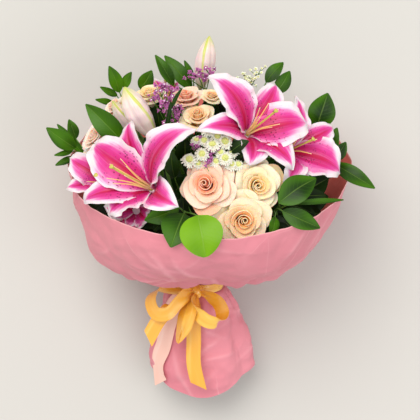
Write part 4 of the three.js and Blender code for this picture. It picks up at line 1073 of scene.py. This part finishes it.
def skirt():
    turn = turns(240)
    t = weave(60, 1)[0] ** 1.3
    neck = [NECK + HEADS * along + around_neck(turn) * SKIRT_NECK_RADIUS for along in (5, -2)]
    grid = vstack([*neck, skirt_point(turn, t)])[::-1]
    t = vstack([np.zeros((2, 1)), t])[::-1]
    gathers = 1.3 * sin(19 * turn + sin(4 * turn)) * smooth(.45, .08, t) * smooth(0, .06, t)
    folds = folded(grid, 6, 60)
    lift = (creased(grid, 8, [(110, 4), (62, 3), (34, 1.7), (19, .8)]) + folds + gathers) * smooth(0, .1, t)
    lift = lift * (1 - .85 * exp(-(((turn - UNDER_RIBBON) / .36) ** 2)))
    wrapping("wrap_skirt", grid, turn, .99 * t, folds, lift)


# The flowers, put together

def blossom_end(bloom):
    return array(bloom[0]) - unit(bloom[1]) * GAP


for name, (root, facing, length, width, spread, filaments, share, tepals) in LILIES.items():
    lily_petals(f"lily_{name}_petals", standing(root, facing), length, width, spread, tepals)
    if filaments:
        lily_heart(f"lily_{name}_heart", standing(root, facing), filaments, share * length)

for name, bud in LILY_BUDS.items():
    lily_bud(f"lily_bud_{name}", *bud)

for name, (first, *others) in LILY_STEMS.items():
    piece = Piece()
    line = stem_line(f"lily_{name}", blossom_end(first), first[1])
    stem(piece, line, 2.4)
    for other in others:
        end = blossom_end(other)
        stalk(piece, smooth_line([lerp(line[4], line[5], .5), end - unit(other[1]) * 16, end], 14), 1.9, 8, 0)
    piece.make(f"lily_stem_{name}", "stem")

for name, (_, facing, roll, scale, rings, slot, tone) in ROSES.items():
    root = ROSE_ROOTS[name]
    rose(f"rose_{name}", f"rose_{slot}", f"rose_{tone}", standing(root, facing, roll, scale), scale, rings)
    piece = Piece()
    stem(piece, stem_line(name, root - unit(facing) * GAP, facing), 2.1)
    piece.make(f"rose_stem_{name}", "stem")


def spray_stalks(piece, name):
    """Adds the stem of a spray, and gives the way it faces and each stalk's tip and foot"""
    hub, facing, tips = SPRAYS[name]
    line = stem_line(name, array(hub), hub - NECK)
    stem(piece, line, 1.6, 2)
    feet = [lerp(line[6], line[5], .08 + .5 * k / len(tips)) for k in range(len(tips))]
    return array(facing), list(zip(array(tips), feet))


def daisy_spray():
    piece = Piece()
    rng = seeded("daisy_spray")
    facing, tips = spray_stalks(piece, "daisy_spray")
    for k, (tip, start) in enumerate(tips):
        way = unit(facing + rng.uniform(-.25, .25, 3))
        radius = (9.8 if k < 6 else 8) * rng.uniform(.93, 1.08)
        bend = lerp(start, tip, .6) - way * 3
        stalk(piece, smooth_line([start, bend, tip - way * .45 * radius], 10), .9, 6)
        ray_flower(piece, standing(tip, way, 40 * k), radius, 20, rng)
    for place in AMONG_DAISIES:
        for _ in range(7):
            way = unit(facing + rng.normal(0, .5, 3))
            at = place + rng.normal(0, 2.6, 3)
            stalk(piece, [at - way * 9, at - way * 1.5], .4)
            funnel(piece, standing(at, way, rng.uniform(0, 360)), rng.uniform(2.4, 3.4), 3.6, rng.random(), 3)
    piece.make("daisy_spray", "daisy", ("daisy", "daisy_heart", "stem", "statice"), sharp=70)


def cluster_spray(name, slot, radius, florets, reach, eye_look, eyes):
    """A spray of small clustered flowers on thin stalks"""
    piece = Piece()
    rng = seeded(name)
    facing, tips = spray_stalks(piece, name)
    facing = unit(facing)
    for tip, start in tips:
        fork = tip - facing * 7
        stalk(piece, smooth_line([start, lerp(start, fork, .6), fork], 8), .7, 6)
        for _ in range(florets):
            way = unit(facing + rng.normal(0, .5, 3))
            place = tip + rng.normal(0, reach, 3) * [1, 1, .6]
            stalk(piece, [fork, lerp(fork, place, .6), place - way * 1.5], .35)
            size = radius * rng.uniform(.8, 1.2)
            funnel(piece, standing(place, way, rng.uniform(0, 360)), size, 1.3 * size, rng.random(), 0)
            if rng.random() < eyes:
                tube(piece, moved([[0, 0, -size], [0, 0, .1], [0, 0, .4]], standing(place, way)),
                     [.3, .32 * size, .25 * size], 6, (0, .5, 0, rng.random()), 1)
    piece.make(name, slot, (slot, eye_look, "stem"), sharp=70)


daisy_spray()
cluster_spray("statice_left", "statice", 2.9, 7, 4.2, "statice_eye", .3)
cluster_spray("statice_top", "statice", 3.1, 7, 3, "statice_eye", .3)
cluster_spray("filler_spray", "filler", 2.7, 8, 3.8, "daisy_heart", 1)


def inside_collar(place):
    """Whether a place lies inside the wrapping and clear of it"""
    away = place - NECK
    along, turn = away @ HEADS, math.atan2(away @ FORWARD, away @ ASIDE)
    sheet = collar_point(turn, linspace(0, 1, 24)) - NECK
    far = sheet @ HEADS
    reach = norm(sheet - far[:, None] * HEADS, axis=1)
    out = norm(away - along * HEADS)
    return NECK_CLEAR < along < far[-1] - SHEET_CLEAR and out < np.interp(along, far, reach) - SHEET_CLEAR


def lower_leaves(piece, line, rng):
    """The leaves lower on a stalk, which fill the bouquet under its blooms"""
    stalk_line = smooth_line(line, 60)
    for k in range(LOWER_LEAVES):
        base = stalk_line[int(lerp(LOWER_FOOT, .97, k / (LOWER_LEAVES - 1)) * 59)]
        turn = radians(GOLDEN_TURN * k + rng.uniform(-20, 20))
        way = unit([cos(turn), sin(turn), rng.uniform(-1.1, .5)])
        wanted = rng.uniform(32, 60) * (1 + .9 * max(-way[2], 0))
        root = base + way * 5
        for length in (wanted, .75 * wanted, .55 * wanted):
            tip = root + way * length
            if tip[2] < LOWER_TOP and inside_collar(tip) and inside_collar((root + tip) / 2):
                wide = min(length * rng.uniform(.4, .52), WIDEST_LOWER_LEAF)
                # Material 3 is the near-black painted-shade leaf
                leaf(piece, base, root, tip, wide, unit([0, .4, .9] - .3 * way), rng, 3, coarse=True)
                break


for name, (top, leaves) in FOLIAGE.items():
    piece = Piece()
    rng = seeded("leaves_" + name)
    line = stem_line(f"leaves_{name}", array(top), top - NECK)
    stem(piece, line, 1.6, 1)
    for k, numbers in enumerate(leaves):
        root, tip, wide, facing = numbers[:3], numbers[3:6], numbers[6], numbers[7:] or (0, 0, 1)
        bright = name == "front" and k == 0
        base = lerp(line[6], line[5], .05 + .16 * k)
        leaf(piece, base, root, tip, wide, facing, rng, 2 if bright else 0, bright)
    lower_leaves(piece, line, rng)
    # The inner and middle stalks' leaves take the near-black painted-shade copy of the leaf look
    main = "painted_shade_leaf" if "inner" in name or name == "middle" else "leaf"
    piece.make(f"leaves_{name}", "leaf", (main, "stem", "pale_leaf", "painted_shade_leaf"))

collar()
skirt()

# The ribbons

# Each loop and tail of the bow: the places that it passes, each with the way of its width there
BOW = {
    "left_loop": [
        (*KNOT, 0, .8, .6), (-42, -97, 120, .1, .8, .6), (-62, -96, 124, .35, .7, .6),
        (-73, -109, 131, .75, .35, .6), (-66, -126, 139, .4, .8, .4), (-52, -126, 143, 0, .9, .4),
        (-39, -113, 142, -.5, .75, .4), (-28, -103, 134, -.5, .75, .4), (*KNOT, -.2, .8, .6)],
    "right_loop": [
        (*KNOT, .3, .6, .7), (-3, -105, 125, .5, .5, .7), (10, -114, 130, .8, .3, .5),
        (15, -127, 134, .9, .1, .4), (9, -137, 139, .55, .75, .4), (-6, -134, 143, .1, .95, .3),
        (-17, -121, 142, -.6, .75, .3), (*KNOT, -.5, .7, .5)],
    "middle_loop": [
        (*KNOT, 1, 0, .2), (-28, -122, 128, 1, .1, .2), (-35, -142, 128, .9, .2, .4),
        (-37, -155, 132, .5, .1, .85), (-31, -147, 138, .7, .5, .5), (-24, -126, 140, .9, .4, .2),
        (*KNOT, .8, .5, .2)],
    "left_tail": [
        (*KNOT, .3, .9, .2), (-44, -116, 128, .7, .7, .1), (-62, -134, 128, 1, -.2, 0),
        (-76, -158, 124, .9, -.4, 0)],
    "right_tail": [
        (*KNOT, 1, 0, 0), (-20, -130, 124, 1, 0, .1), (-20, -160, 116, 1, 0, 0),
        (-20, -190, 108, 1, 0, .1), (-14, -218, 102, .8, .3, .2)],
}

# The blush ribbon's places on the skirt: the turn round it, the share down it, and the lift off it
BLUSH = [(118, .05, 1.8), (134, .16, 2), (138, .34, 2.4), (140, .6, 2.6), (145, .8, 3), (141, 1.02, 3)]


def ribbon(name, slot, corners, wide, node, slant=0):
    """A strip of satin along corners, each a place and the way of its width, gathered towards the knot"""
    piece = Piece()
    t, v = weave(90, 9)
    corners = array(corners, float)
    line = smooth_line(corners[:, :3], len(t))
    ways = smooth_line(unit(corners[:, 3:]), len(t))
    along = unit(np.gradient(line, axis=0))
    across = unit(ways - along * np.sum(ways * along, 1, keepdims=True))
    up = np.cross(along, across)
    spread = lerp(.35, 1, smooth(3, 26, norm(line - KNOT, axis=1)))[:, None]
    steps = norm(np.gradient(line, axis=0), axis=1)
    far = np.cumsum(steps)[:, None]
    pleat = (1 - spread) * 2.6 * sin(v * 7) + .5 * sin(far / 17 + v * 1.3) * v
    half = v * wide / 2
    grid = line[:, None] + across[:, None] * (half * spread)[..., None] + up[:, None] * pleat[..., None]
    grid = grid + along[-1] * (slant * half * smooth(.9, 1, t))[..., None]
    blade(piece, grid, RIBBON_THICK, together(v, far / 1000, slant != 0, 0))
    made = piece.make(name, slot, node=node, sharp=60)
    length = float(steps.sum())
    cloth = np.cross(np.diff(grid, axis=0)[:, 1:], np.diff(grid, axis=1)[1:])
    area = min(float(norm(cloth, axis=-1).sum()), wide * length) / 1e6


for name, corners in BOW.items():
    ribbon(f"bow_{name}", "gold_ribbon", corners, BOW_WIDTH, "bow", .7 if "tail" in name else 0)

pink = []
for turn, t, lift in BLUSH:
    turn = radians(turn)
    across = skirt_point(turn - radians(6), t) - skirt_point(turn + radians(6), t)
    along = skirt_point(turn, t + .03) - skirt_point(turn, t - .03)
    pink.append([*skirt_point(turn, t) + unit(np.cross(along, across)) * lift, *across])
ribbon("pink_ribbon_tail", "blush_ribbon", pink, PINK_WIDTH, "pink_ribbon", -.5)


def band():
    """The ribbon wound round the neck"""
    piece = Piece()
    t, v = weave(97, 9)
    turn = 2 * pi * t
    ruck = .5 * sin(v * 6 + .6 * sin(5 * turn)) + .4 * sin(11 * turn) * (1 - v**2)
    radius = BAND_RADIUS + ruck + .6 * turn / 6.28
    grid = NECK + HEADS * (5.5 * v - 2.5)[..., None] + around_neck(turn) * radius[..., None]
    blade(piece, grid, RIBBON_THICK, together(v, turn * BAND_RADIUS / 1000, 0, 0))
    made = piece.make("bow_band", "gold_ribbon", node="bow", sharp=60)


def knot():
    piece = Piece()
    u = pi * weave(22, 1)[0]
    turn = turns(40)
    r = KNOT_RADIUS * (1 + .07 * sin(3 * turn + 2 * u) + .05 * sin(5 * turn - 3 * u))
    grid = together(r * cos(turn) * sin(u) * 1.1, r * cos(u), r * sin(turn) * sin(u) * .85) + KNOT
    piece.add(grid, [quads(22, 40, True, True)], together(cos(u) * .8, turn * .004, 0, 0))
    piece.make("bow_knot", "gold_ribbon", node="bow", sharp=80)


band()
knot()

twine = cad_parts["twine_tie"]
twine.data.materials.clear()
twine.data.materials.append(MATERIALS["twine"])


# The surface, the light and the camera

def floor():
    mesh = bpy.data.meshes.new("surface")
    r = FLOOR_REACH
    mesh.from_pydata([(-r, -r, 0), (r, -r, 0), (r, r, 0), (-r, r, 0)], [], [(0, 1, 2, 3)])
    made = placed("surface", mesh)
    made.location.z = -FLOOR_GAP
    Shader("surface", .85, specular_ior_level=.1).finish("c6c4bf")
    mesh.materials.append(MATERIALS["surface"])


def light(name, place, size, power, colour):
    data = bpy.data.lights.new(name, "AREA")
    given(data, shape="DISK", size=size, energy=power, color=rgb(colour)[:3])
    turn = Vector(LIT - array(place)).to_track_quat("-Z", "Y")
    given(placed(name, data), location=place, rotation_mode="QUATERNION", rotation_quaternion=turn)


floor()
light("key", (-.9, 1.5, 3.6), 2.8, 108, "fffbf5")
light("fill", (1.8, -1.2, 2.8), 2.8, 34, "fafbff")
scene = bpy.context.scene
scene.world = bpy.data.worlds.new("studio")
scene.world.use_nodes = True
sky = scene.world.node_tree.nodes["Background"].inputs
sky[0].default_value = rgb("f7f7f6")
sky[1].default_value = .82
scene.view_settings.view_transform = "Standard"

lens = given(bpy.data.cameras.new("camera"), sensor_width=SENSOR, clip_end=50)
lens.lens = SENSOR * FOCUS_DISTANCE / (MM_PER_PIXEL * FRAME_PIXELS)
scene.camera = placed("camera", lens)
scene.camera.location = to_row([0, 0, CAMERA_HEIGHT])
